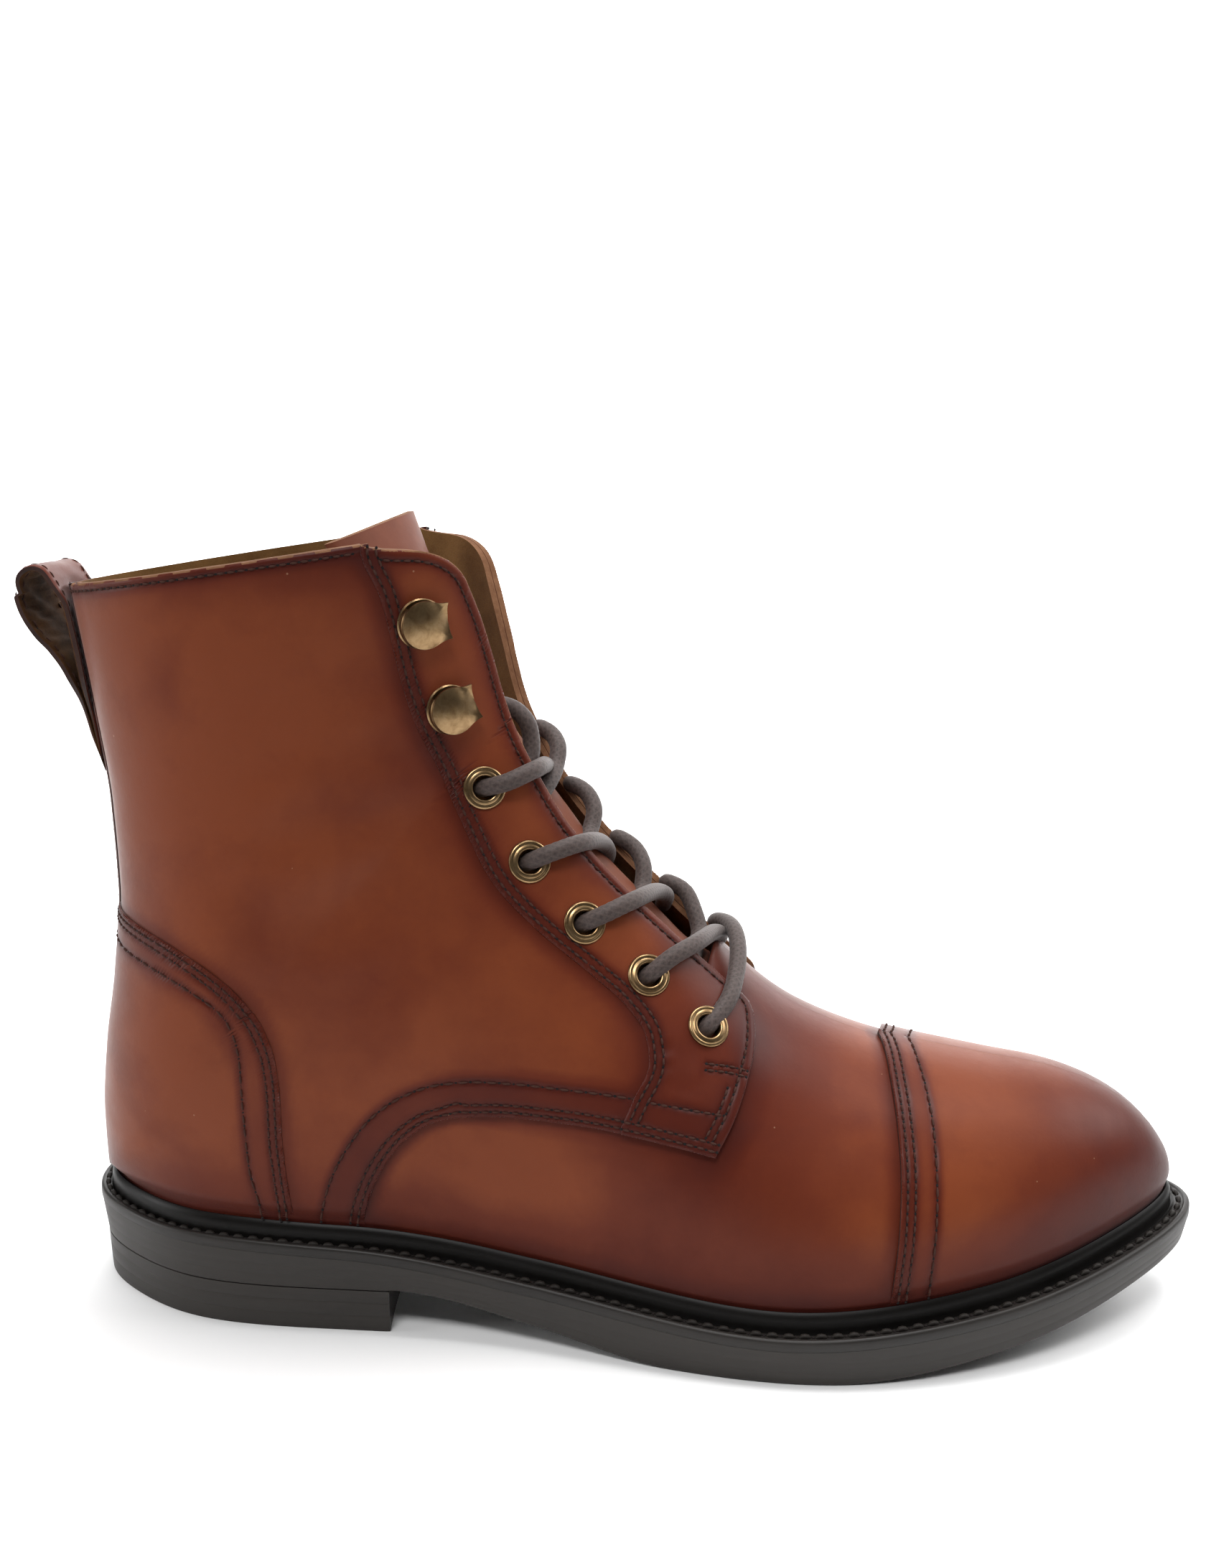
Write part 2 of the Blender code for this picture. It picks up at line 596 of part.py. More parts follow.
def make_sole(rubber, welt_leather, insole_mat):
    """Build outsole, heel block, welt and insole."""
    stations = base_stations()
    lip, under = LAST.lip, LAST.under
    slab("outsole", stations, SIDEWALL_INSET, lambda x: lip(x) - WELT_THICKNESS - LAYER_GAP,
         TREAD_INSET, under, rubber)
    heel_x = [x for x in stations if x < HEEL_BREAST_X - 4][::-1]
    heel = slab("heel", heel_x + [HEEL_BREAST_X + 1.0], TREAD_INSET, lambda x: HEEL_BLOCK_HEIGHT,
                TREAD_INSET + 0.4, lambda x: 0.0, rubber)
    breast = [(HEEL_BREAST_X - HEEL_BREAST_HOLLOW * (1 - (y / 40.0) ** 2), y)
              for y in np.linspace(-48, 48, 9)]
    outline = breast + [(130.0, 48.0), (130.0, -48.0)]
    points = [(x, y, -5.0) for x, y in outline] + [(x, y, 20.0) for x, y in outline]
    n = len(outline)
    faces = [list(range(n)), list(range(2 * n - 1, n - 1, -1))]
    faces += [[k, (k + 1) % n, (k + 1) % n + n, k + n] for k in range(n)]
    boolean(heel, solid("breast", points, faces), "DIFFERENCE")
    foot = 100.0
    profile = (
        # inset from the lip (above 100: from the leather's foot), height over the lip
        (0.0, -WELT_THICKNESS),
        (0.0, -0.5),
        (0.5, 0.0),
        (foot - BEAD_WIDTH - 1.0, 0.0),
        (foot - BEAD_WIDTH - 0.3, -0.7),
        (foot - BEAD_WIDTH, 3.0),
        (foot - 0.5 * BEAD_WIDTH, RIM_HEIGHT),
        (foot - LAYER_GAP, RIM_HEIGHT - 0.6),
        (foot - LAYER_GAP, -WELT_THICKNESS),
    )
    ring = [(x, -1) for x in stations] + [(x, 1) for x in stations[::-1][1:-1]]
    points, faces = [], []
    count = len(profile)
    for x, side in ring:
        edge, inward, leather = LAST.rail(x, side)
        for inset, height in profile:
            depth = inset if inset < 50 else np.dot(leather - edge, inward) + inset - foot
            p = edge + inward * depth
            points.append((p[0], p[1], float(lip(p[0])) + height))
    for k in range(len(ring)):
        m = (k + 1) % len(ring)
        faces += [[k * count + j, m * count + j, m * count + (j + 1) % count, k * count + (j + 1) % count]
                  for j in range(count)]
    solid("welt", points, faces, welt_leather)
    inner = 100.0 + WALL + LAYER_GAP
    slab("insole", [x for x in stations if 9.0 < x < 297.5],
         inner, lambda x: lip(x) - WELT_THICKNESS + INSOLE_THICKNESS,
         inner, lambda x: lip(x) - WELT_THICKNESS, insole_mat)


def holes_for(piece, side):
    """Cut the eyelet holes of one side through a piece."""
    for x, z in EYELETS:
        row, v = LAST.locate(x, z, side)
        place, axis = LAST.point(row, v, side), LAST.normal(row, v, side)
        boolean(piece, plug(place, axis, EYELET_HOLE_RADIUS + 1.0, -6, 8, 8), "DIFFERENCE")


def panel(name, layer, outline, side, mat):
    """Return a leather overlay: the wall at a layer, within a side-view outline on one side."""
    piece = shell(name, layer[0], layer[1], mat)
    if side:
        boolean(piece, throat_cutter(), "DIFFERENCE")
    span = {-1: (-90.0, SIDE_SPLIT_Y), 1: (SIDE_SPLIT_Y, 90.0), 0: (-90.0, 90.0)}[side]
    boolean(piece, prism("outline", outline, *span), "INTERSECT")
    return piece


def make_upper(leather, lining):
    """Build the hollow upper, its overlays and the tongue."""
    upper = shell("upper", -WALL, 0.0, leather)
    boolean(upper, throat_cutter(), "DIFFERENCE")
    for side in (-1, 1):
        holes_for(upper, side)
    tidy(upper)
    rear, arch = smooth_line(EYESTAY_REAR), smooth_line(ARCH)
    front, counter, cap = smooth_line(FACING_FRONT), smooth_line(COUNTER_EDGE), smooth_line(CAP_EDGE)
    arch_foot = [q for q in arch if q[1] > LAST.lip(q[0]) + RIM_HEIGHT + 0.6]
    counter_foot = [q for q in counter if q[1] > LAST.lip(q[0]) + RIM_HEIGHT + 0.6]
    cap_foot = [q for q in cap if q[1] > LAST.lip(q[0]) + RIM_HEIGHT + 0.6]
    arch_join = min(range(len(arch)), key=lambda k: math.dist(arch[k], rear[-1]))
    stay_outline = rear + arch[:arch_join + 1][::-1] + front[::-1][1:] + [(187, 150), (150, 222)]
    for side, word in ((-1, "outer"), (1, "inner")):
        stay = panel("eyestay_" + word, TOP_LAYER, stay_outline, side, leather)
        holes_for(stay, side)
        tidy(stay)
        edge = shifted(rear, -PANEL_GAP)
        heel_line = shifted(counter_foot, PANEL_GAP)
        outline = edge + arch_foot[arch_join + 1:] + rim_line(arch_foot[-1][0], heel_line[-1][0])[1:-1]
        outline += heel_line[::-1] + [(-25, 116), (-25, 222)]
        quarter = panel("quarter_" + word, QUARTER_LAYER, outline, side, leather)
        boolean(quarter, strip_cutter(), "DIFFERENCE")
        tidy(quarter)
    cap_outline = cap_foot + rim_line(cap_foot[-1][0], 305)[1:] + [(320, 60), (300, 95), (222, 95)]
    tidy(panel("toe_cap", QUARTER_LAYER, cap_outline, 0, leather))
    counter_outline = counter_foot + rim_line(counter_foot[-1][0], 2)[1:] + [(-12, 31)]
    tidy(panel("heel_counter", TOP_LAYER, counter_outline, 0, leather))
    stay_back = shell("backstay", TOP_LAYER[0], TOP_LAYER[1], leather)
    boolean(stay_back, strip_cutter(0.0, BACKSTAY_BOTTOM, BACKSTAY_TOP), "INTERSECT")
    tidy(stay_back)
    make_tongue(lining)


def strip_cutter(extra=PANEL_GAP, low=100.0, high=230.0):
    """Return a block round the back strip, wider than it by extra on each side."""
    half = BACKSTAY_HALF_WIDTH + extra
    outline = [(-20, low), (30, low), (30, high), (-20, high)]
    return prism("strip", outline, -half, half)


def make_tongue(leather):
    """Build the tongue, from under the vamp to its free top."""
    points, faces = [], []
    offsets = np.linspace(-1, 1, TONGUE_COLUMNS)
    count = len(offsets)
    for layer in TONGUE_LAYER:
        for row, half, lean, lift in TONGUE:
            for f in offsets:
                side = -1 if f < 0 else 1
                v = 0.9995 if f == 0 else LAST.across(row, abs(f) * half, side)
                p = LAST.point(row, v, side) + LAST.normal(row, v, side) * layer
                shift = lean * (1.0 - 0.28 * f + TONGUE_FLATTEN * (1.0 - f * f))
                rise = lift + TONGUE_TWIST * f - TONGUE_DROP + 0.8 * (1.0 - f * f) if lift else 0.0
                p += np.array([-shift, 0.0, rise])
                points.append(p)
    rows = len(TONGUE)
    sheet = rows * count
    for r in range(rows - 1):
        for c in range(count - 1):
            q = [r * count + c, r * count + c + 1, (r + 1) * count + c + 1, (r + 1) * count + c]
            faces += [q, [k + sheet for k in q[::-1]]]
    border = [(c, c + 1) for c in range(count - 1)]
    border += [((rows - 1) * count + c, (rows - 1) * count + c + 1) for c in range(count - 1)]
    border += [(r * count, (r + 1) * count) for r in range(rows - 1)]
    border += [(r * count + count - 1, (r + 1) * count + count - 1) for r in range(rows - 1)]
    faces += [[a, b, b + sheet, a + sheet] for a, b in border]
    solid("tongue", points, faces, leather)


def make_loop(leather):
    """Build the pull loop: a strip folded over itself behind the collar."""
    line = np.array(smooth_line(LOOP_PATH, 3.5))
    flow = np.gradient(line, axis=0)
    flow /= np.linalg.norm(flow, axis=1)[:, None]
    out = np.stack([-flow[:, 1], flow[:, 0]], axis=1) * 0.5 * LOOP_THICKNESS
    points, faces = [], []
    for k in range(len(line)):
        for sign in (-1, 1):
            x, z = line[k] + sign * out[k]
            points += [(x, -LOOP_HALF_WIDTH, z), (x, LOOP_HALF_WIDTH, z)]
    ring = (0, 1, 3, 2)
    for k in range(len(line) - 1):
        a, b = 4 * k, 4 * k + 4
        for m in range(4):
            p, q = ring[m], ring[(m + 1) % 4]
            faces.append([a + p, a + q, b + q, b + p])
    n = 4 * (len(line) - 1)
    faces += [[r for r in ring], [n + r for r in ring[::-1]]]
    solid("pull_loop", points, faces, leather)


def make_metal(brass):
    """Build eyelets and speed hooks on both facings."""
    seat = TOP_LAYER[1] + 0.45
    ring = (
        # radius, height over the upper's face
        (EYELET_HOLE_RADIUS, -WALL - 0.6),
        (EYELET_HOLE_RADIUS + 0.6, -WALL - 0.6),
        (EYELET_HOLE_RADIUS + 0.6, seat),
        (EYELET_RING_RADIUS, seat),
        (EYELET_RING_RADIUS - 0.7, seat + 1.1),
        (EYELET_HOLE_RADIUS + 0.5, seat + 1.1),
        (EYELET_HOLE_RADIUS, seat + 0.5),
    )
    hook = (
        # radius, height over the upper's face
        (0.4, seat),
        (4.6, seat),
        (4.4, seat + 0.8),
        (2.4, seat + 1.2),
        (2.4, seat + 3.6),
        (HOOK_RADIUS, seat + 4.4),
        (HOOK_RADIUS - 0.6, seat + 5.6),
        (HOOK_RADIUS - 2.6, seat + 6.8),
        (0.4, seat + 7.3),
    )
    for side, word in ((-1, "outer"), (1, "inner")):
        for k, (x, z) in enumerate(EYELETS):
            row, v = LAST.locate(x, z, side)
            place, axis = LAST.point(row, v, side), LAST.normal(row, v, side)
            lathe("eyelet_%s_%d" % (word, k + 1), place, axis, ring, EYELET_SEGMENTS, brass)
        for k, (x, z) in enumerate(HOOKS):
            row, v = LAST.locate(x, z, side)
            place, axis = LAST.point(row, v, side), LAST.normal(row, v, side)
            close_core(lathe("hook_%s_%d" % (word, k + 1), place, axis, hook, 8, brass))


def close_core(stud):
    """Close the fine bore down the middle of a turned stud."""
    build = bmesh.new()
    build.from_mesh(stud.data)
    bmesh.ops.remove_doubles(build, verts=build.verts, dist=1.0 * MM)
    bmesh.ops.recalc_face_normals(build, faces=build.faces)
    build.to_mesh(stud.data)
    build.free()


def lace_stop(side, index, lift):
    """Return a point over an eyelet's hole, lift above the upper's face."""
    x, z = EYELETS[index]
    row, v = LAST.locate(x, z, side)
    return LAST.point(row, v, side) + LAST.normal(row, v, side) * lift


def lace_edge(side, row, inset, lift):
    """Return a point by a facing's edge, inset from it toward the eyelets."""
    gap = float(monotone(THROAT_GAP)(LAST.top(row)[2]))
    v = LAST.across(row, gap + inset, side)
    return LAST.point(row, v, side) + LAST.normal(row, v, side) * lift


def eyelet_row(index):
    """Return the section row of an eyelet, taken straight across to the throat."""
    x, z = EYELETS[index]
    place = np.array([x, z])
    rows = np.linspace(8.5, 15, 300)
    tops = np.array([[LAST.top(r)[0], LAST.top(r)[2]] for r in rows])
    return float(rows[np.argmin(((tops - place) ** 2).sum(axis=1))])


def make_laces(cord):
    """Build the bar and the crossings of the lace, clear of the leather and the rings."""
    over = TOP_LAYER[1] + LACE_RADIUS + 2.8
    rows = [eyelet_row(k) for k in range(len(EYELETS))]
    near, far = ([lace_stop(side, 0, over), lace_edge(side, rows[0], 1.0, over),
                  lace_edge(side, rows[0], -9.0, over - 1.0)] for side in (-1, 1))
    bar = near + far[::-1]
    tube("lace_bar", bar, LACE_RADIUS, cord)
    for k in range(1, len(EYELETS)):
        low, high = rows[k - 1], rows[k]
        strand = {}
        for side, mid in ((-1, 2.6), (1, 0.6)):
            start = lace_edge(-side, 0.65 * low + 0.35 * high, -LACE_RADIUS - 3.6, 0.9)
            cross = LAST.point(0.5 * (low + high), 0.9995, side)
            cross = cross + LAST.normal(0.5 * (low + high), 0.9995, side) * (mid + 0.4)
            rise = lace_edge(side, 0.25 * low + 0.75 * high, -3.4, 4.2)
            lip = lace_edge(side, 0.1 * low + 0.9 * high, 2.5, over)
            strand[side] = [start, cross, rise, lip, lace_stop(side, k, over)]
        body = tube("lace_cross_%d" % (k + 1), strand[-1], LACE_RADIUS, cord)
        boolean(body, tube("strand", strand[1], LACE_RADIUS, cord), "UNION")
        tidy(body)


def stand_on_origin():
    """Move everything so the box's bottom centre is the origin."""
    pieces = [o for o in bpy.data.objects if o.type == "MESH"]
    corners = np.array([v.co for o in pieces for v in o.data.vertices])
    low, high = corners.min(axis=0), corners.max(axis=0)
    shift = Matrix.Translation((-(low[0] + high[0]) / 2, -(low[1] + high[1]) / 2, -low[2]))
    for o in pieces:
        o.data.transform(shift)


def main():
    """Build the boot."""
    for obj in list(bpy.data.objects):
        bpy.data.objects.remove(obj)
    leather = material("cognac_leather", (0.19, 0.062, 0.028), 0.38)
    lining = material("tongue_leather", (0.27, 0.12, 0.075), 0.55)
    rubber = material("sole_rubber", (0.022, 0.018, 0.016), 0.6)
    welt_leather = material("welt_rubber", (0.03, 0.024, 0.02), 0.55)
    insole_mat = material("insole_leather", (0.22, 0.12, 0.05), 0.7)
    brass = material("antique_brass", (0.26, 0.18, 0.07), 0.35, 1.0)
    cord = material("lace_cord", (0.075, 0.062, 0.06), 0.8)
    make_sole(rubber, welt_leather, insole_mat)
    make_upper(leather, lining)
    make_loop(leather)
    make_metal(brass)
    make_laces(cord)
    stand_on_origin()


main()
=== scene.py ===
"""Looks of a cap-toe lace-up boot for the right foot, standing empty on its sole.

Sizes are in millimetres in the boot's own frame: x from the heel's back to the toe, -y on the outer
side of the foot, z up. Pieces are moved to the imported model's place when their mesh is made.
"""
import logging
import math
from dataclasses import dataclass, field
from enum import Enum
from typing import Callable

import bmesh
import bpy
import numpy as np
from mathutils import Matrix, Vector
from mathutils.geometry import delaunay_2d_cdt

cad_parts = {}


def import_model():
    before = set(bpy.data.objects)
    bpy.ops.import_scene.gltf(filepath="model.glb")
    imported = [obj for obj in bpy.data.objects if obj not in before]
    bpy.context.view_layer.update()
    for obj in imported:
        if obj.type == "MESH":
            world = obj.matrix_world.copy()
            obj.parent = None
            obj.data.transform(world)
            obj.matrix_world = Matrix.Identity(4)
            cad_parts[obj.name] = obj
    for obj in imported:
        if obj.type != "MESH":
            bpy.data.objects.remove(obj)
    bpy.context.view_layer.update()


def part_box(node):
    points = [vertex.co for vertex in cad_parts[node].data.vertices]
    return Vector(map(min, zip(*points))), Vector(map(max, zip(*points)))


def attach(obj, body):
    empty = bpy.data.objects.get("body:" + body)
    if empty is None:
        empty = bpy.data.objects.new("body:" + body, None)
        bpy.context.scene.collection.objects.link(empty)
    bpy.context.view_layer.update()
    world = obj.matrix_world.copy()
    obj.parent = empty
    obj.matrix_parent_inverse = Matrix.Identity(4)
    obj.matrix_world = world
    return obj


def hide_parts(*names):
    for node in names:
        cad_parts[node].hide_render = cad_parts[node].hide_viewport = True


LOG = logging.getLogger("boot")
Piece = bpy.types.Object
Material = bpy.types.Material
Socket = bpy.types.NodeSocket
MM = 0.001
SEED = 7

# Sole: outline of the welt's lip seen from above, and heights along the boot.
SOLE_OUTLINE = ((0.0, 0.0), (3.6, -14.0), (17.2, -27.9), (38.9, -38.8), (113.8, -42.4), (197.2, -55.9),
                (255.0, -43.0), (290.0, -21.0), (308.0, 4.4), (291.0, 30.1), (255.0, 42.0), (213.0, 49.0),
                (160.0, 38.0), (116.0, 31.5), (75.0, 34.5), (38.9, 38.0), (17.2, 27.9), (3.6, 14.0))
LIP_HEIGHT = ((0, 25.7), (40, 25.7), (80, 24.4), (130, 18.2), (195, 12.8), (250, 17.2), (308, 28.2))
UNDERSIDE = ((0, 12.2), (92, 12.2), (130, 6.0), (168, 0.0), (206, 0.0), (255, 5.6), (308, 18.6))
WELT_INSET = ((0, 5.6), (60, 5.6), (120, 7.6), (308, 7.6))
RIM_HEIGHT = 4.5
SKIRT = 75.0

# Upper: one row per section, a straight cut from the base line to the ridge line.
SECTIONS = (
    # base_x, base_z, top_x, top_z, wide_outer, wide_inner, wide_at, crown, mid_y
    (300.4, 0.0, 300.6, 36.5, 0.0, 0.0, 0.30, 2.6, 4.4),
    (299.2, 0.0, 299.5, 40.5, 0.0, 0.0, 0.30, 2.6, 4.4),
    (296.0, 0.0, 296.4, 46.0, 0.0, 0.0, 0.29, 2.6, 4.4),
    (290.0, 0.0, 290.4, 52.6, 0.0, 0.0, 0.28, 2.5, 4.4),
    (281.0, 0.0, 281.4, 58.6, 0.0, 0.0, 0.27, 2.4, 4.4),
    (266.0, 0.0, 267.0, 63.8, 0.0, 0.0, 0.25, 2.3, 4.4),
    (246.0, 0.0, 248.0, 67.0, 20.0, 20.0, 0.22, 2.15, 4.4),
    (222.0, 0.0, 222.0, 72.0, 40.0, 36.0, 0.20, 2.0, 4.4),
    (198.0, 0.0, 198.0, 81.0, 44.0, 40.0, 0.20, 1.9, 4.4),
    (174.0, 0.0, 180.0, 95.0, 43.0, 38.0, 0.22, 1.9, 4.0),
    (148.0, 0.0, 164.0, 112.0, 41.0, 36.5, 0.25, 1.95, 3.0),
    (120.0, 0.0, 151.0, 126.5, 39.0, 35.5, 0.28, 2.0, 2.0),
    (93.5, 0.0, 141.5, 138.6, 37.5, 35.0, 0.32, 2.0, 1.0),
    (52.0, 0.0, 134.0, 151.0, 37.0, 35.5, 0.36, 2.05, 0.5),
    (22.0, 0.0, 129.5, 161.0, 37.0, 36.0, 0.39, 2.1, 0.0),
    (5.6, 0.0, 126.5, 169.0, 37.0, 36.2, 0.41, 2.1, 0.0),
    (5.2, 46.0, 125.0, 174.0, 37.0, 36.3, 0.43, 2.1, 0.0),
    (7.0, 66.0, 123.6, 180.0, 36.8, 36.2, 0.45, 2.15, 0.0),
    (10.6, 88.0, 122.4, 185.5, 36.3, 36.0, 0.47, 2.2, 0.0),
    (13.0, 112.0, 121.4, 191.0, 36.2, 36.0, 0.48, 2.2, 0.0),
    (12.4, 136.0, 120.6, 197.0, 36.8, 36.6, 0.49, 2.2, 0.0),
    (9.4, 162.0, 119.9, 203.5, 38.2, 38.0, 0.50, 2.2, 0.0),
    (4.6, 196.0, 119.0, 213.0, 40.0, 40.0, 0.50, 2.2, 0.0),
)
HEEL_ROW = 15
LAST_ROW = 22
SPLIT = 0.4
BACK_ROUND = 2.25
RIDGE = 0.9995  # v just short of the ridge, where both halves meet
TUCK = -0.04  # v of an edge tucked behind the welt
LOWEST = -0.06  # lowest v in use
FAR = 99.0  # stands for a height or distance that never counts
SIDES = ((-1, "outer"), (1, "inner"))

# Seams and panel edges seen from the side (x, z).
EYESTAY_REAR = ((88.6, 209.5), (89.5, 205), (93, 196), (97, 175), (100, 164), (105, 152), (110.5, 139),
                (119, 122.5), (130, 110.5), (145, 98), (154, 90.5), (159.5, 83), (160.5, 77), (157, 68.5),
                (154, 61.5))
ARCH = ((178, 55.5), (171, 57), (153, 59.8), (135, 61.3), (122, 62), (112, 61.5), (104, 59.5), (97, 54.5),
        (91.5, 47.5), (87.5, 39.5), (85, 31), (84, 22))
ARCH_ROW = ((181.5, 65.0), (169.4, 67.0), (154.2, 68.8), (138.3, 70.0), (126.7, 71.0), (116.1, 71.4),
            (106.1, 70.4), (98, 67.6), (89.1, 61.4), (82, 52.5), (77.5, 44.2), (75.0, 37.2), (73.5, 30.4),
            (73, 24))
COUNTER_EDGE = ((-2, 108.6), (8, 108.8), (15, 108.5), (23, 107.7), (31, 106), (39.5, 103), (48, 98.4),
                (55.2, 92), (60.7, 84), (63.4, 75), (64.2, 65.5), (64.3, 54), (65, 43), (66, 33), (66.5, 22))
COUNTER_ROW = ((-2, 101), (9, 100.6), (15.7, 99.8), (25.5, 98.3), (35.2, 95.9), (43.6, 92.1), (49.8, 87.6),
               (53, 81.1), (54, 73.6), (54.1, 64.3), (54.4, 55.3), (55.1, 44.2), (57.2, 35.1), (58.6, 26))
CAP_EDGE = ((219, 84), (220.3, 78), (222.6, 70), (224.2, 60), (224.8, 50), (224.4, 38), (223.4, 26),
            (222, 8))
CAP_ROW = ((229.2, 78), (230.0, 71), (232.0, 66), (233.4, 58), (233.7, 48), (233.5, 40), (232.6, 28),
           (231.6, 12))
VAMP_BACK = ((172, 86), (168, 72), (164, 64), (150, 66.5), (122, 67.5), (104, 65), (93, 57), (84, 44), (79, 33),
             (78, 22))
# Free edge of the facing, from the collar down the throat and round its lower corner.
FACING_EDGE = ((89.3, 208.2), (95.4, 207.3), (101.3, 206.9), (104.7, 206.0), (108.5, 203.6), (111.1, 200.0),
               (112.6, 195.6), (114.3, 190.0), (115.9, 184.1), (117.4, 178.0), (119.1, 171.0), (121.3, 163.6),
               (123.7, 157.6), (126.6, 151.3), (130.0, 145.1), (133.4, 139.3), (137.1, 133.8), (141.2, 128.6),
               (146.0, 123.1), (151.0, 117.8), (156.2, 112.7), (161.4, 107.8), (166.3, 103.1), (171.3, 98.4),
               (176.6, 93.5), (180.7, 89.9), (184.0, 87.0), (185.9, 84.0), (186.6, 79.0), (185.2, 72.3),
               (182.6, 64.5), (178.0, 55.5))

EYELETS = ((174.4, 84.0), (159.0, 96.9), (142.2, 110.5), (127.9, 126.5), (116.2, 145.6))
HOOKS = ((108.5, 166.5, 16.6), (102.5, 188.5, 5.5))


class Edge(Enum):
    """How a panel ends along one stretch of its outline."""

    CUT = "cut"
    RAW = "raw"
    BUTT = "butt"
    FOLD = "fold"
    FOOT = "foot"


def hermite(a: np.ndarray, b: np.ndarray, leave: np.ndarray, reach: np.ndarray, t: np.ndarray) -> np.ndarray:
    """Blend from a to b at shares t, with the slopes at which a is left and b is reached."""
    return (a * (1 + 2 * t) * (1 - t) ** 2 + leave * t * (1 - t) ** 2
            + b * t * t * (3 - 2 * t) + reach * t * t * (t - 1))


def monotone(knots: tuple) -> Callable[[np.ndarray], np.ndarray]:
    """Make a smooth function through knots that never overshoots them.

    Args:
        knots: (x, value) pairs in rising x.

    Returns:
        A function of an array of x.
    """
    x = np.array([k[0] for k in knots], float)
    v = np.array([k[1] for k in knots], float)
    step = np.diff(x)
    slope = np.diff(v) / step
    m = np.zeros(len(x))
    for i in range(1, len(x) - 1):
        if slope[i - 1] * slope[i] > 0:
            a = 2 * step[i] + step[i - 1]
            b = step[i] + 2 * step[i - 1]
            m[i] = (a + b) / (a / slope[i - 1] + b / slope[i])
    m[0], m[-1] = slope[0], slope[-1]

    def value(q: np.ndarray) -> np.ndarray:
        """Evaluate the curve, held level past its ends.

        Args:
            q: places along x.

        Returns:
            The values there.
        """
        q = np.clip(np.asarray(q, float), x[0], x[-1])
        i = np.clip(np.searchsorted(x, q, side="right") - 1, 0, len(x) - 2)
        return hermite(v[i], v[i + 1], m[i] * step[i], m[i + 1] * step[i], (q - x[i]) / step[i])

    return value


def closed_spline(points: tuple, count: int) -> np.ndarray:
    """Draw a smooth closed curve.

    Args:
        points: plan points that the curve passes through.
        count: how many points to return.

    Returns:
        Array (count, 2) along the curve.
    """
    p = np.array(points, float)
    n = len(p)
    h = np.linalg.norm(np.roll(p, -1, axis=0) - p, axis=1) ** 0.75
    back = np.roll(h, 1)
    matrix = np.zeros((n, n))
    right = np.zeros((n, 2))
    for i in range(n):
        matrix[i, i - 1] += h[i]
        matrix[i, i] += 2 * (h[i] + back[i])
        matrix[i, (i + 1) % n] += back[i]
        right[i] = 3 * (h[i] * (p[i] - p[i - 1]) / back[i] + back[i] * (p[(i + 1) % n] - p[i]) / h[i])
    m = np.linalg.solve(matrix, right)
    out = []
    for i in range(n):
        j = (i + 1) % n
        out.append(hermite(p[i], p[j], m[i] * h[i], m[j] * h[i], np.arange(0, 1, n / count)[:, None]))
    return np.concatenate(out)


def smoothstep(low: float, high: float, q: np.ndarray) -> np.ndarray:
    """Ease from 0 at low to 1 at high."""
    t = np.clip((np.asarray(q, float) - low) / (high - low), 0.0, 1.0)
    return t * t * (3 - 2 * t)


def unit(q: np.ndarray) -> np.ndarray:
    """Scale vectors to length 1."""
    return q / (np.linalg.norm(q, axis=-1, keepdims=True) + 1e-12)


def lengths(points: np.ndarray, extra: float = 0.0) -> np.ndarray:
    """Measure the way to each point of a polyline, with some extra on every step."""
    return np.concatenate([[0], np.cumsum(np.linalg.norm(np.diff(points, axis=0), axis=1) + extra)])


def sample(at: np.ndarray, run: np.ndarray, values: np.ndarray) -> np.ndarray:
    """Read every column of values at places along a run."""
    return np.stack([np.interp(at, run, column) for column in values.T], axis=1)


def spaced(points: np.ndarray, step: float) -> np.ndarray:
    """Resample a polyline.

    Args:
        points: polyline (n, k).
        step: distance wanted between points.

    Returns:
        Points at equal distances, both ends kept.
    """
    run = lengths(points)
    return sample(np.linspace(0, run[-1], max(2, int(math.ceil(run[-1] / step)) + 1)), run, points)


def curve_through(points: np.ndarray, step: float) -> np.ndarray:
    """Draw a smooth open curve through points in space.

    Args:
        points: control points (n, k).
        step: distance between the returned points.

    Returns:
        Evenly spaced points on the curve.
    """
    p = np.asarray(points, float)
    t = np.concatenate([[0], np.cumsum(np.linalg.norm(np.diff(p, axis=0), axis=1) ** 0.6)])
    m = np.gradient(p, t, axis=0)
    out = []
    for i in range(len(p) - 1):
        h = t[i + 1] - t[i]
        share = np.linspace(0, 1, 24, endpoint=False)[:, None]
        out.append(hermite(p[i], p[i + 1], m[i] * h, m[i + 1] * h, share))
    return spaced(np.concatenate(out + [p[-1:]]), step)


def nearest(points: np.ndarray, targets: np.ndarray) -> np.ndarray:
    """Measure how far each point lies from the closest target.

    Args:
        points: query points (n, 3).
        targets: target points (m, 3).

    Returns:
        Distances (n,), large where there is no target.
    """
    if len(targets) == 0:
        return np.full(len(points), 1e3)
    out = np.empty(len(points))
    for k in range(0, len(points), 1500):
        part = points[k:k + 1500]
        gap = (part ** 2).sum(1)[:, None] + (targets ** 2).sum(1)[None] - 2 * part @ targets.T
        out[k:k + 1500] = np.sqrt(np.maximum(gap.min(axis=1), 0.0))
    return out


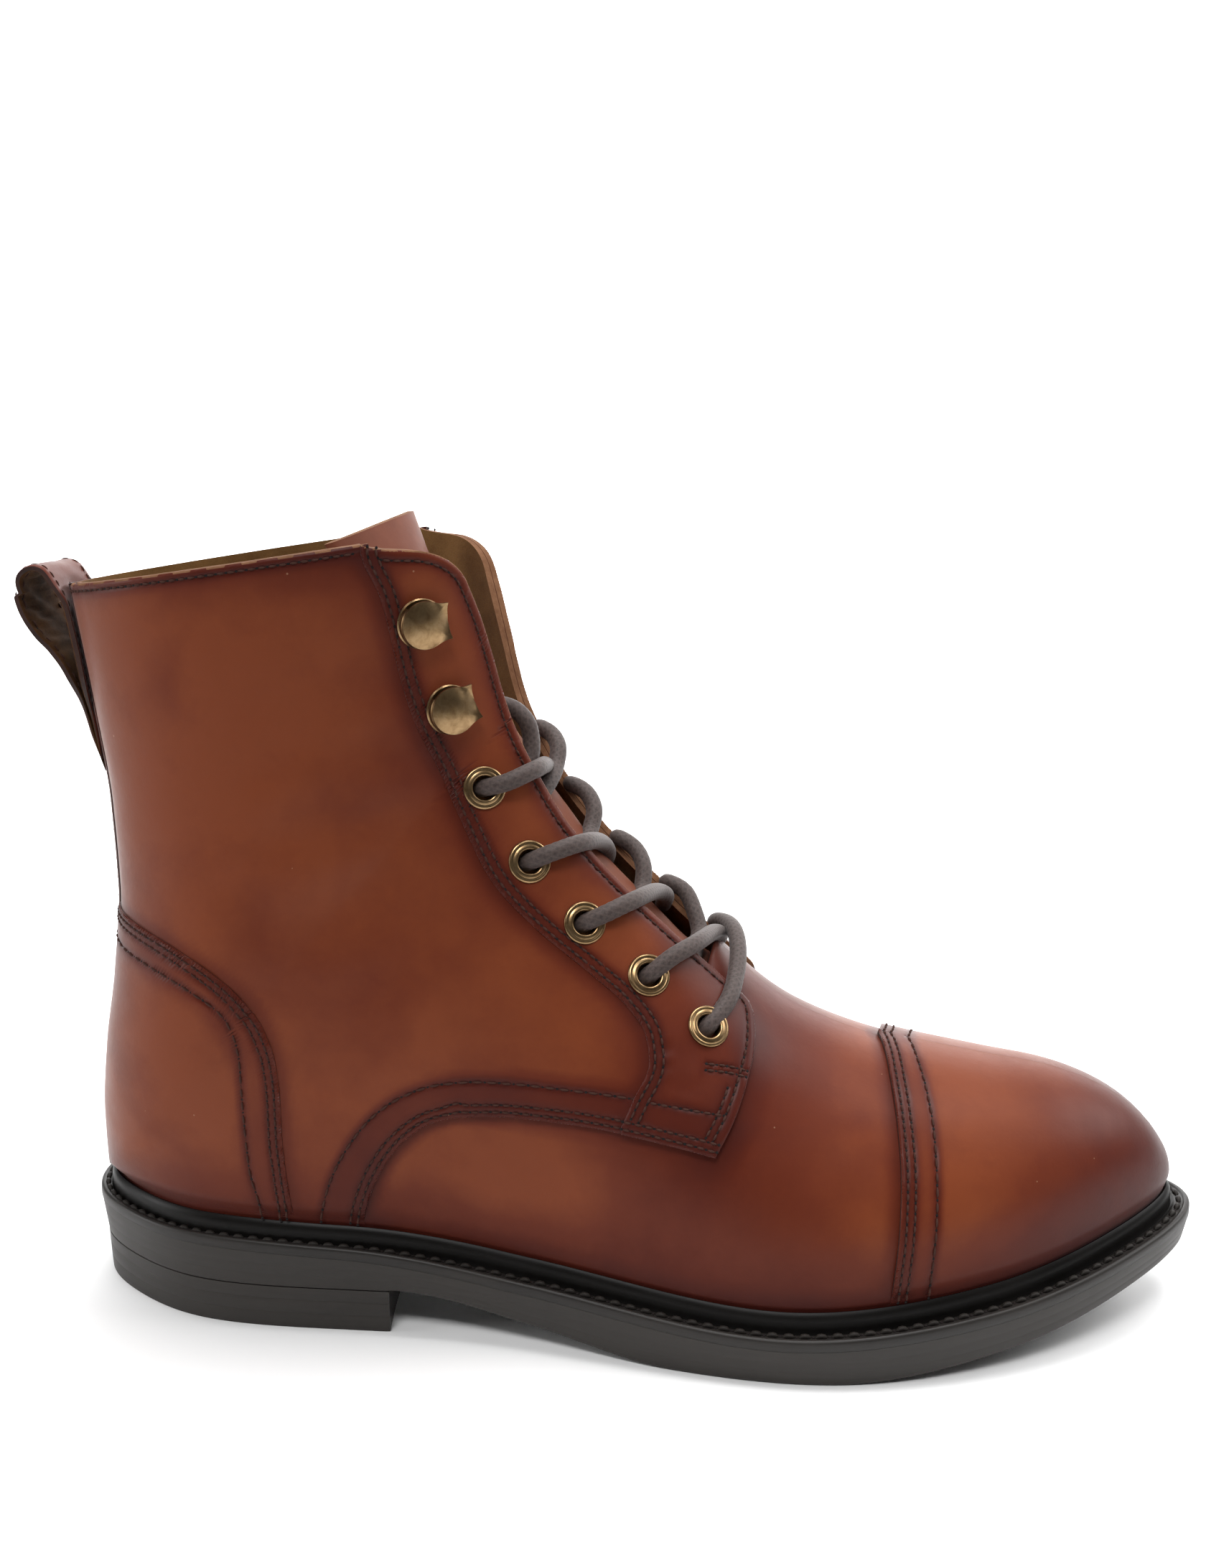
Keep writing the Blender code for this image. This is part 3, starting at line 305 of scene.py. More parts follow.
def within(polygon: np.ndarray, points: np.ndarray) -> np.ndarray:
    """Say which points lie inside a closed polygon.

    Args:
        polygon: corners in order (n, 2).
        points: query points (m, 2).

    Returns:
        True for each point inside.
    """
    hit = np.zeros(len(points), bool)
    x, y = points[:, 0], points[:, 1]
    for (x0, y0), (x1, y1) in zip(polygon, np.roll(polygon, -1, axis=0)):
        if y0 != y1:
            hit ^= ((y0 > y) != (y1 > y)) & (x < (x1 - x0) * (y - y0) / (y1 - y0) + x0)
    return hit


def ring_quads(rings: int, count: int) -> list:
    """List the quads between neighbouring closed rings of count points."""
    return [[k * count + j, k * count + (j + 1) % count, (k + 1) * count + (j + 1) % count, (k + 1) * count + j]
            for k in range(rings - 1) for j in range(count)]


def joined(parts: list) -> tuple[np.ndarray, list]:
    """Put meshes together.

    Args:
        parts: (points, faces) of each mesh.

    Returns:
        All points and all faces.
    """
    points, faces, base = [], [], 0
    for p, f in parts:
        points.append(p)
        faces += [[k + base for k in face] for face in f]
        base += len(p)
    return np.concatenate(points), faces


def linked(name: str, data: bpy.types.ID) -> Piece:
    """Put an object with its data into the scene.

    Args:
        name: object name.
        data: its mesh, light or camera.

    Returns:
        The new object.
    """
    obj = bpy.data.objects.new(name, data)
    bpy.context.scene.collection.objects.link(obj)
    return obj


class Last:
    """The form the boot is made on: the sole's rails and the upper's face."""

    def __init__(self) -> None:
        """Work out the rails, the section columns and the flat chart of the face."""
        self.lip = monotone(LIP_HEIGHT)
        self.under = monotone(UNDERSIDE)
        self.outline = closed_spline(SOLE_OUTLINE, 1800)
        tangent = unit(np.roll(self.outline, -1, axis=0) - np.roll(self.outline, 1, axis=0))
        self.inward = np.stack([-tangent[:, 1], tangent[:, 0]], axis=1)
        self.inset = monotone(WELT_INSET)
        feather = self.outline + self.inward * self.inset(self.outline[:, 0])[:, None]
        tip, back = int(np.argmax(feather[:, 0])), int(np.argmin(feather[:, 0]))
        count = len(feather)
        self.branch = {}
        for side, start, stop in ((-1, back, tip), (1, tip, back)):
            index = np.arange(start, stop + 1 if stop > start else stop + 1 + count) % count
            order = np.argsort(feather[index, 0])
            self.branch[side] = feather[index][order]
        rows = np.array(SECTIONS, float)
        rows[0, 0], rows[HEEL_ROW, 0] = feather[tip, 0], feather[back, 0]
        rows[:HEEL_ROW + 1, 1] = self.lip(rows[:HEEL_ROW + 1, 0]) + RIM_HEIGHT
        rows[0, 8] = np.interp(rows[0, 0], self.branch[-1][:, 0], self.branch[-1][:, 1])
        self.column = [monotone(tuple(enumerate(rows[:, c]))) for c in range(9)]
        fine = np.linspace(0, LAST_ROW, 1101)
        path = self.point(fine, np.full(len(fine), 0.3), -1)
        self.chart_rows = fine
        self.chart_u = lengths(path, 1e-4)
        mesh = self.point(fine[:, None], np.linspace(0, 1, 41)[None], -1)
        self.chart_len = np.linalg.norm(np.diff(mesh, axis=1), axis=2).sum(axis=1)

    def base(self, row: np.ndarray) -> tuple[np.ndarray, np.ndarray]:
        """Give the base point (x, z) of the cut at fractional rows."""
        x = self.column[0](row)
        return x, np.where(np.asarray(row) <= HEEL_ROW, self.lip(x) + RIM_HEIGHT, self.column[1](row))

    def top(self, row: np.ndarray) -> tuple[np.ndarray, np.ndarray, np.ndarray]:
        """Give the ridge point (x, y, z) of the cut at fractional rows."""
        return self.column[2](row), self.column[8](row), self.column[3](row)

    def widths(self, row: np.ndarray, side: int) -> tuple[np.ndarray, np.ndarray]:
        """Give the greatest half width and the half width at the base.

        Args:
            row: section rows, 0 at the toe.
            side: -1 for the outer side, 1 for the inner.

        Returns:
            Both half widths.
        """
        x = self.base(row)[0]
        rail = self.branch[side]
        foot = np.maximum(0.0, side * (np.interp(x, rail[:, 0], rail[:, 1]) - self.column[8](row)))
        foot = np.where(row < HEEL_ROW, foot, 0.0)
        table = self.column[4 if side < 0 else 5](row)
        blend = 2.0 * np.minimum(1.0, foot / 10 + table / 40)
        return 0.5 * (table + foot + 0.4 + np.hypot(table - foot - 0.4, blend)), foot

    def point(self, row: np.ndarray, v: np.ndarray, side: int) -> np.ndarray:
        """Place points on the face.

        Args:
            row: section rows, 0 at the toe.
            v: 0 at the base to 1 at the ridge; below 0 runs down behind the welt.
            side: -1 for the outer side, 1 for the inner.

        Returns:
            Points (..., 3).
        """
        row, v = np.broadcast_arrays(np.asarray(row, float), np.asarray(v, float))
        wide, foot = self.widths(row, side)
        at, crown = self.column[6](row), self.column[7](row)
        w = np.clip(v, 0.0, 1.0)
        low = np.cos(0.5 * np.pi * np.minimum(w / SPLIT, 1.0))
        high = np.sin(0.5 * np.pi * np.maximum((w - SPLIT) / (1 - SPLIT), 0.0))
        is_low = w <= SPLIT
        along = np.where(is_low, at * (1 - low), at + (1 - at) * high)
        fill = np.where(is_low, 1 - (1 - (foot / wide) ** 2) * low ** BACK_ROUND, 1 - high ** crown)
        half = np.where(row <= 0, 0.0, wide * np.sqrt(np.maximum(fill, 0.0)))
        (bx, bz), (tx, mid, tz) = self.base(row), self.top(row)
        drop = SKIRT * np.minimum(v, 0.0)
        return np.stack([bx + (tx - bx) * along, mid + side * half, bz + (tz - bz) * along + drop], axis=-1)

    def normal(self, row: np.ndarray, v: np.ndarray, side: int) -> np.ndarray:
        """Give the outward direction of the face at each place.

        Args:
            row: section rows, 0 at the toe.
            v: places from the base, 0, to the ridge, 1.
            side: -1 for the outer side, 1 for the inner.

        Returns:
            Unit vectors (..., 3).
        """
        row, v = np.broadcast_arrays(np.asarray(row, float), np.asarray(v, float))
        w = np.clip(v, 0.0, 1.0)
        r0, r1 = np.clip(row - 0.05, 0.02, LAST_ROW), np.clip(row + 0.05, 0.08, LAST_ROW)
        v0, v1 = np.clip(w - 0.008, 0.0, 0.99), np.clip(w + 0.008, 0.01, 0.999)
        along = self.point(r1, np.minimum(w, 0.999), side) - self.point(r0, np.minimum(w, 0.999), side)
        up = self.point(np.maximum(row, 0.02), v1, side) - self.point(np.maximum(row, 0.02), v0, side)
        n = unit(np.cross(along, up) * side)
        flat = (w > 0.997) | ((row >= HEEL_ROW - 0.01) & (w < 0.002)) | (row < 0.03)
        n[flat, 1] = 0.0
        return unit(n)

    def spot(self, rv: np.ndarray, side: int) -> np.ndarray:
        """Place pairs of row and v on the face."""
        return self.point(rv[:, 0], rv[:, 1], side)

    def outward(self, rv: np.ndarray, side: int) -> np.ndarray:
        """Give the outward direction at pairs of row and v."""
        return self.normal(rv[:, 0], rv[:, 1], side)

    def lift(self, row: np.ndarray, v: np.ndarray, side: int, height: float) -> np.ndarray:
        """Place points at a height over the face."""
        return self.point(row, v, side) + self.normal(row, v, side) * np.asarray(height)[..., None]

    def across(self, row: np.ndarray, offset: float, side: int) -> np.ndarray:
        """Find v above the widest where the face lies offset from the ridge's plane.

        Args:
            row: section rows, 0 at the toe.
            offset: distance from the plane.
            side: -1 for the outer side, 1 for the inner.

        Returns:
            Values of v.
        """
        wide = self.widths(np.asarray(row, float), side)[0]
        lean = np.maximum(0.0, 1 - (np.minimum(offset, wide) / wide) ** 2) ** (1 / self.column[7](row))
        return SPLIT + (1 - SPLIT) * 2 / np.pi * np.arcsin(np.minimum(1.0, lean))

    def behind(self, row: np.ndarray, offset: float, side: int) -> np.ndarray:
        """Find v on the back half where the face lies offset from the middle plane.

        Args:
            row: section rows, 0 at the toe.
            offset: distance from the plane.
            side: -1 for the outer side, 1 for the inner.

        Returns:
            Values of v.
        """
        wide = self.widths(np.asarray(row, float), side)[0]
        lean = np.maximum(0.0, 1 - (np.minimum(offset, wide) / wide) ** 2) ** (1 / BACK_ROUND)
        return SPLIT * 2 / np.pi * np.arccos(np.minimum(1.0, lean))

    def from_side(self, line: tuple) -> np.ndarray:
        """Find rows and v of a line seen from the side.

        Args:
            line: (x, z) points; those below the rim or behind the back are drawn to the face's edge.

        Returns:
            Array (n, 2) of row and v, smooth between the points.
        """
        p = np.array(line, float)
        run = lengths(p)
        q = np.linspace(0, run[-1], max(8, int(run[-1] / 1.5)))
        xs, zs = (monotone(tuple(zip(run, p[:, k])))(q) for k in (0, 1))
        rows = np.linspace(0.02, LAST_ROW, 4397)
        (bx, bz), (tx, _, tz) = self.base(rows), self.top(rows)
        out = []
        for x, z in zip(xs, zs):
            cross = (tx - bx) * (z - bz) - (tz - bz) * (x - bx)
            along = ((x - bx) * (tx - bx) + (z - bz) * (tz - bz)) / ((tx - bx) ** 2 + (tz - bz) ** 2)
            flips = np.nonzero(cross[:-1] * cross[1:] <= 0)[0]
            if len(flips) == 0:
                continue
            miss = np.maximum(0, -along[flips]) + np.maximum(0, along[flips] - 1)
            k = flips[np.argmin(miss)]
            t = cross[k] / (cross[k] - cross[k + 1] + 1e-12)
            row = rows[k] + t * (rows[k + 1] - rows[k])
            a = float(np.clip(along[k] + t * (along[k + 1] - along[k]), 0, 1))
            at = float(self.column[6](row))
            if a <= at:
                v = SPLIT * math.acos(1 - a / at) * 2 / math.pi
            else:
                v = SPLIT + (1 - SPLIT) * math.asin(min(1.0, (a - at) / (1 - at))) * 2 / math.pi
            out.append((row, v))
        return np.array(out)

    def find(self, x: float, z: float) -> np.ndarray:
        """Find row and v of one point seen from the side."""
        return self.from_side(((x, z), (x + 0.01, z)))[0]

    def chart(self, rv: np.ndarray) -> np.ndarray:
        """Flatten rows and v to lengths of roughly true scale."""
        u = np.interp(rv[:, 0], self.chart_rows, self.chart_u)
        return np.stack([u, rv[:, 1] * np.interp(rv[:, 0], self.chart_rows, self.chart_len)], axis=1)

    def unchart(self, flat: np.ndarray) -> np.ndarray:
        """Turn flat lengths back into rows and v."""
        row = np.interp(flat[:, 0], self.chart_u, self.chart_rows)
        return np.stack([row, flat[:, 1] / np.interp(row, self.chart_rows, self.chart_len)], axis=1)

    def slide(self, rv: np.ndarray, side: int, move: np.ndarray) -> np.ndarray:
        """Move places along the face by small vectors in space.

        Args:
            rv: places as rows and v.
            side: -1 for the outer side, 1 for the inner.
            move: vectors (n, 3).

        Returns:
            The moved places.
        """
        e = np.array([0.02, 0.004])
        row, v = rv[:, 0], rv[:, 1]
        a = (self.point(row + e[0], v, side) - self.point(np.maximum(row - e[0], 1e-3), v, side)) / (2 * e[0])
        low, high = np.maximum(v - e[1], 0.0), np.minimum(np.maximum(v, 0) + e[1], RIDGE)
        b = (self.point(row, high, side) - self.point(row, low, side)) / (high - low)[:, None]
        aa, ab, bb = (a * a).sum(1), (a * b).sum(1), (b * b).sum(1)
        am, bm = (a * move).sum(1), (b * move).sum(1)
        det = np.maximum(aa * bb - ab * ab, 1e-9)
        return rv + np.stack([(am * bb - bm * ab) / det, (bm * aa - am * ab) / det], axis=1)

    def beside(self, rv: np.ndarray, side: int, distance: float, steps: int = 1) -> np.ndarray:
        """Draw a line beside another on the face.

        Args:
            rv: line as rows and v.
            side: side of the boot.
            distance: how far to the left of the line in the chart, negative to the right.
            steps: in how many moves.

        Returns:
            The line moved sideways.
        """
        for _ in range(steps):
            p = self.spot(rv, side)
            left = side * np.cross(self.outward(rv, side), unit(np.gradient(p, axis=0)))
            rv = self.slide(rv, side, unit(left) * distance / steps)
            rv[:, 1] = np.clip(rv[:, 1], LOWEST, RIDGE)
            rv[:, 0] = np.clip(rv[:, 0], 0.0, LAST_ROW)
        return rv

    def along(self, rv: np.ndarray, side: int, step: float) -> np.ndarray:
        """Resample a line on the face to even distances in space.

        Args:
            rv: line as rows and v.
            side: -1 for the outer side, 1 for the inner.
            step: distance wanted between points.

        Returns:
            The resampled line.
        """
        t = np.linspace(0, len(rv) - 1, (len(rv) - 1) * 6 + 1)
        fine = sample(t, np.arange(len(rv)), rv)
        run = lengths(self.spot(fine, side), 1e-9)
        return sample(np.linspace(0, run[-1], max(2, int(math.ceil(run[-1] / step)) + 1)), run, fine)


LAST = Last()
THROAT = LAST.from_side(FACING_EDGE)
THROAT[0, 0] = LAST_ROW
COLLAR_END = float(THROAT[0, 1])


@dataclass
class Build:
    """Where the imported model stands, and how a mesh becomes a piece of it."""

    shift: np.ndarray = field(default_factory=lambda: np.zeros(3))

    def settle(self) -> None:
        """Read the boot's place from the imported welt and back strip."""
        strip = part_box("backstay")
        self.shift = np.array([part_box("welt")[0].x, 0.5 * (strip[0].y + strip[1].y), 0.0]) / MM

    def piece(self, name: str, points: np.ndarray, faces: list, mats: list, face_mats: np.ndarray | None = None,
              attrs: dict | None = None, weld: float = 0.0, sharp: float = 38.0) -> Piece:
        """Make one mesh object that rides with the boot.

        Args:
            name: piece name.
            points: vertices in millimetres.
            faces: vertex index lists.
            mats: materials in slot order.
            face_mats: slot of each face, all 0 if left out.
            attrs: named values per vertex.
            weld: distance below which vertices are joined, in millimetres.
            sharp: edges bent more than this many degrees stay sharp.

        Returns:
            The new object.
        """
        mesh = bpy.data.meshes.new(name)
        world = (np.asarray(points) + self.shift) * MM
        mesh.from_pydata(world.tolist(), [], [list(map(int, f)) for f in faces])
        for mat in mats:
            mesh.materials.append(mat)
        if face_mats is not None:
            mesh.polygons.foreach_set("material_index", np.asarray(face_mats, np.int32))
        for key, values in (attrs or {}).items():
            layer = mesh.attributes.new(key, "FLOAT", "POINT")
            layer.data.foreach_set("value", np.asarray(values, np.float32))
        work = bmesh.new()
        work.from_mesh(mesh)
        if weld:
            bmesh.ops.remove_doubles(work, verts=work.verts, dist=weld * MM)
        bmesh.ops.recalc_face_normals(work, faces=work.faces)
        work.to_mesh(mesh)
        work.free()
        mesh.polygons.foreach_set("use_smooth", np.ones(len(mesh.polygons), bool))
        mesh.set_sharp_from_angle(angle=math.radians(sharp))
        obj = linked(name, mesh)
        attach(obj, "root")
        LOG.info("%s: %d faces", name, len(mesh.polygons))
        return obj


BUILD = Build()


class Shade:
    """A material under construction: adds shader nodes and links them."""

    def __init__(self, name: str, roughness: float, metallic: float = 0.0) -> None:
        """Start from a principled shader with constant values on its own sockets.

        Args:
            name: material name.
            roughness: how dull it is.
            metallic: 1 for metal.
        """
        self.mat = bpy.data.materials.new(name)
        self.mat.use_nodes = True
        self.tree = self.mat.node_tree
        self.shader = self.tree.nodes["Principled BSDF"]
        self.set("Roughness", roughness)
        self.set("Metallic", metallic)
        self.place = self.tree.nodes.new("ShaderNodeTexCoord").outputs["Object"]

    def set(self, socket: str, value: float | tuple) -> None:
        """Set a constant on the shader."""
        self.shader.inputs[socket].default_value = value

    def wire(self, source: Socket, socket: str) -> None:
        """Link a value to the shader."""
        self.tree.links.new(source, self.shader.inputs[socket])

    def feed(self, slot: Socket, value: object) -> None:
        """Set a node's slot to a value, or link a socket to it.

        Args:
            slot: input to fill.
            value: number, colour or socket.
        """
        if isinstance(value, Socket):
            self.tree.links.new(value, slot)
        else:
            slot.default_value = value

    def node(self, kind: str, **inputs: object) -> bpy.types.Node:
        """Add a node with values or sockets on its inputs.

        Args:
            kind: node type.
            inputs: values or sockets by input name.

        Returns:
            The node.
        """
        node = self.tree.nodes.new(kind)
        for key, value in inputs.items():
            self.feed(node.inputs[key], value)
        return node

    def stretch(self, scale: tuple) -> Socket:
        """Give the place stretched along the axes."""
        return self.node("ShaderNodeMapping", Scale=scale, Vector=self.place).outputs[0]

    def noise(self, size_mm: float, detail: float = 3.0, rough: float = 0.55, warp: float = 0.0,
              place: Socket | None = None) -> Socket:
        """Give noise with features of about a size in millimetres."""
        return self.node("ShaderNodeTexNoise", Scale=1.0 / (size_mm * MM), Detail=detail, Roughness=rough,
                         Distortion=warp, Vector=place or self.place).outputs[0]

    def cells(self, size_mm: float, feature: str = "F1") -> Socket:
        """Give cell distances with cells of about a size in millimetres.

        Args:
            size_mm: cell size.
            feature: which distance is given.

        Returns:
            The distance.
        """
        node = self.node("ShaderNodeTexVoronoi", Vector=self.place)
        node.feature = feature
        node.inputs["Scale"].default_value = 1.0 / (size_mm * MM)
        return node.outputs["Distance"]

    def value(self, name: str) -> Socket:
        """Read a value stored on the mesh.

        Args:
            name: attribute name.

        Returns:
            The value.
        """
        node = self.node("ShaderNodeAttribute")
        node.attribute_name = name
        return node.outputs["Fac"]

    def calc(self, kind: str, a: object, b: object = 0.0, clamp: bool = False) -> Socket:
        """Combine two values or sockets.

        Args:
            kind: operation.
            a: first value or socket.
            b: second value or socket.
            clamp: whether the result is kept from 0 to 1.

        Returns:
            The result.
        """
        node = self.node("ShaderNodeMath")
        node.operation = kind
        node.use_clamp = clamp
        for slot, value in zip(node.inputs, (a, b)):
            self.feed(slot, value)
        return node.outputs[0]

    def scaled(self, source: Socket, gain: float, shift: float = 0.0) -> Socket:
        """Give source times gain plus shift."""
        return self.calc("ADD", self.calc("MULTIPLY", source, gain), shift)

    def ramp(self, source: Socket, stops: tuple) -> Socket:
        """Colour a value by (position, colour) stops.

        Args:
            source: value to colour.
            stops: stops in rising position.

        Returns:
            The colour.
        """
        node = self.node("ShaderNodeValToRGB", Fac=source)
        points = node.color_ramp.elements
        while len(points) < len(stops):
            points.new(0.5)
        for point, (at, colour) in zip(points, stops):
            point.position = at
            point.color = (*colour, 1.0)
        return node.outputs["Color"]

    def mix(self, share: object, a: object, b: object) -> Socket:
        """Mix two colours by a share.

        Args:
            share: share of the second colour.
            a: first colour.
            b: second colour.

        Returns:
            The mixed colour.
        """
        node = self.node("ShaderNodeMix")
        node.data_type = "RGBA"
        slots = {slot.identifier: slot for slot in node.inputs}
        for key, value in (("Factor_Float", share), ("A_Color", a), ("B_Color", b)):
            self.feed(slots[key], (*value, 1.0) if isinstance(value, tuple) else value)
        return next(slot for slot in node.outputs if slot.identifier == "Result_Color")

    def bump(self, height: Socket, strength: float, depth_mm: float) -> None:
        """Add relief on top of what is there.

        Args:
            height: relief.
            strength: how much of it shows.
            depth_mm: its depth.
        """
        node = self.node("ShaderNodeBump", Strength=strength, Distance=depth_mm * MM, Height=height)
        normal = self.shader.inputs["Normal"]
        if normal.is_linked:
            self.tree.links.new(normal.links[0].from_socket, node.inputs["Normal"])
        self.tree.links.new(node.outputs[0], normal)


@dataclass(frozen=True)
class BurnishedLeather:
    """Hand-burnished smooth leather: orange-brown panels that darken toward seams and edges; some of the
    darkening is painted shade, beside the counter's and arch's edges and round the front tab.
    """

    light: tuple = (0.180, 0.0420, 0.0150)
    middle: tuple = (0.120, 0.0236, 0.0098)
    brown: tuple = (0.084, 0.0140, 0.0064)
    dark: tuple = (0.056, 0.0098, 0.0066)
    roughness: float = 0.42
    grain: float = 0.10

    def make(self, name: str) -> Material:
        """Build the material, driven by the darkening stored on the mesh, burnishing and painted shade
        together.

        Args:
            name: material name.

        Returns:
            The material.
        """
        s = Shade(name, self.roughness)
        cloud = s.noise(38, 2.0, 0.5, 0.5)
        mottle = s.noise(8, 4.0, 0.6, 0.4)
        fine = s.noise(1.6, 3.0, 0.6)
        tone = s.calc("ADD", s.value("burnish_and_shade"), s.scaled(cloud, 0.78, -0.34))
        tone = s.calc("ADD", tone, s.scaled(mottle, 0.2, -0.10))
        tone = s.calc("ADD", tone, s.scaled(fine, 0.07, -0.035), clamp=True)
        colour = s.ramp(tone, ((0.0, self.light), (0.3, self.middle), (0.62, self.brown), (1.0, self.dark)))
        speck = s.calc("LESS_THAN", s.cells(13.0), 0.022)
        s.wire(s.mix(s.calc("MULTIPLY", speck, 0.35), colour, (0.45, 0.27, 0.17)), "Base Color")
        dull = s.calc("ADD", s.scaled(mottle, 0.16, self.roughness - 0.08), s.scaled(fine, 0.08, -0.04))
        s.wire(dull, "Roughness")
        s.set("Specular IOR Level", 0.10)
        s.set("Coat Weight", 0.05)
        s.set("Coat Roughness", 0.25)
        s.set("Sheen Weight", 0.10)
        s.set("Sheen Roughness", 0.4)
        s.bump(s.cells(0.75, "SMOOTH_F1"), self.grain, 0.12)
        s.bump(s.noise(2.6, 4.0, 0.6, 0.5), 0.10, 0.25)
        s.bump(s.noise(14, 2.0, 0.5), 0.22, 0.8)
        return s.mat


@dataclass(frozen=True)
class PlainLeather:
    """Matte leather or a leather edge in one tone with fine mottling."""

    light: tuple
    dark: tuple
    roughness: float = 0.55
    size: float = 3.0
    relief: float = 0.15
    shine: float = 0.3

    def make(self, name: str) -> Material:
        """Build the material.

        Args:
            name: material name.

        Returns:
            The material.
        """
        s = Shade(name, self.roughness)
        broad, fine = s.noise(self.size * 5, 2.0), s.noise(self.size, 4.0, 0.65)
        tone = s.calc("ADD", s.scaled(broad, 0.55), s.scaled(fine, 0.45))
        s.wire(s.ramp(tone, ((0.3, self.dark), (0.7, self.light))), "Base Color")
        s.set("Specular IOR Level", self.shine)
        s.bump(s.noise(self.size * 0.3, 4.0, 0.65), self.relief, 0.2)
        s.bump(s.noise(self.size * 2.2, 2.0), self.relief, 0.5)
        return s.mat


@dataclass(frozen=True)
class Suede:
    """Napped lining leather: short fibres, soft sheen, blotchy tone."""

    light: tuple
    dark: tuple
    sheen: float = 0.25

    def make(self, name: str) -> Material:
        """Build the material.

        Args:
            name: material name.

        Returns:
            The material.
        """
        s = Shade(name, 0.92)
        nap = s.noise(0.55, 4.0, 0.7, 0.8)
        tone = s.calc("ADD", s.scaled(s.noise(11, 3.0, 0.6), 0.6), s.scaled(nap, 0.4))
        s.wire(s.ramp(tone, ((0.32, self.dark), (0.68, self.light))), "Base Color")
        s.set("Specular IOR Level", 0.15)
        s.set("Sheen Weight", self.sheen)
        s.set("Sheen Roughness", 0.5)
        s.bump(nap, 0.5, 0.3)
        return s.mat


@dataclass(frozen=True)
class Rubber:
    """Moulded dark rubber with a dry bloom and fine trim lines from buffing."""

    light: tuple
    dark: tuple
    roughness: float = 0.5
    lines: float = 0.1
    shine: float = 0.4

    def make(self, name: str) -> Material:
        """Build the material.

        Args:
            name: material name.

        Returns:
            The material.
        """
        s = Shade(name, self.roughness)
        streak = s.noise(1.4, 3.0, 0.6, 0.0, s.stretch((0.045, 0.045, 1.0)))
        bloom = s.noise(22, 3.0, 0.6)
        tone = s.calc("ADD", s.scaled(bloom, 0.6), s.scaled(streak, 0.4))
        s.wire(s.ramp(tone, ((0.3, self.dark), (0.7, self.light))), "Base Color")
        s.wire(s.scaled(bloom, 0.22, self.roughness - 0.11), "Roughness")
        s.set("Specular IOR Level", self.shine)
        s.bump(streak, self.lines, 0.15)
        s.bump(s.noise(0.6, 3.0, 0.6), 0.12, 0.08)
        return s.mat


@dataclass(frozen=True)
class AntiqueBrass:
    """Brass with a brown antique film, brighter in random patches."""

    bright: tuple = (0.34, 0.225, 0.115)
    dull: tuple = (0.19, 0.115, 0.054)
    roughness: float = 0.30

    def make(self, name: str) -> Material:
        """Build the material.

        Args:
            name: material name.

        Returns:
            The material.
        """
        s = Shade(name, self.roughness, 1.0)
        film = s.noise(3.0, 4.0, 0.65, 0.4)
        s.wire(s.ramp(film, ((0.3, self.dull), (0.62, self.bright))), "Base Color")
        s.wire(s.scaled(film, -0.10, self.roughness + 0.05), "Roughness")
        s.bump(s.noise(0.5, 3.0, 0.6), 0.12, 0.05)
        return s.mat


@dataclass(frozen=True)
class WaxedCord:
    """Waxed braid: charcoal yarn, with painted highlight on the raised crossings and painted shade in the
    hollows between them.
    """

    light: tuple
    dark: tuple
    yarn: float = 0.35
    roughness: float = 0.62
    sheen: float = 0.10
    shine: float = 0.3

    def make(self, name: str) -> Material:
        """Build the material, with painted highlight where the braid or a stitch stands out.

        Args:
            name: material name.

        Returns:
            The material.
        """
        s = Shade(name, self.roughness)
        yarn = s.noise(self.yarn, 3.0, 0.65)
        # painted highlight: lighter where the yarn stands out, darker in the hollows between
        tone = s.calc("ADD", s.scaled(s.value("proud_highlight"), 0.34), s.scaled(yarn, 0.95, -0.10), clamp=True)
        s.wire(s.ramp(tone, ((0.1, self.dark), (0.85, self.light))), "Base Color")
        s.set("Sheen Weight", self.sheen)
        s.set("Specular IOR Level", self.shine)
        s.bump(yarn, 0.35, 0.12)
        return s.mat


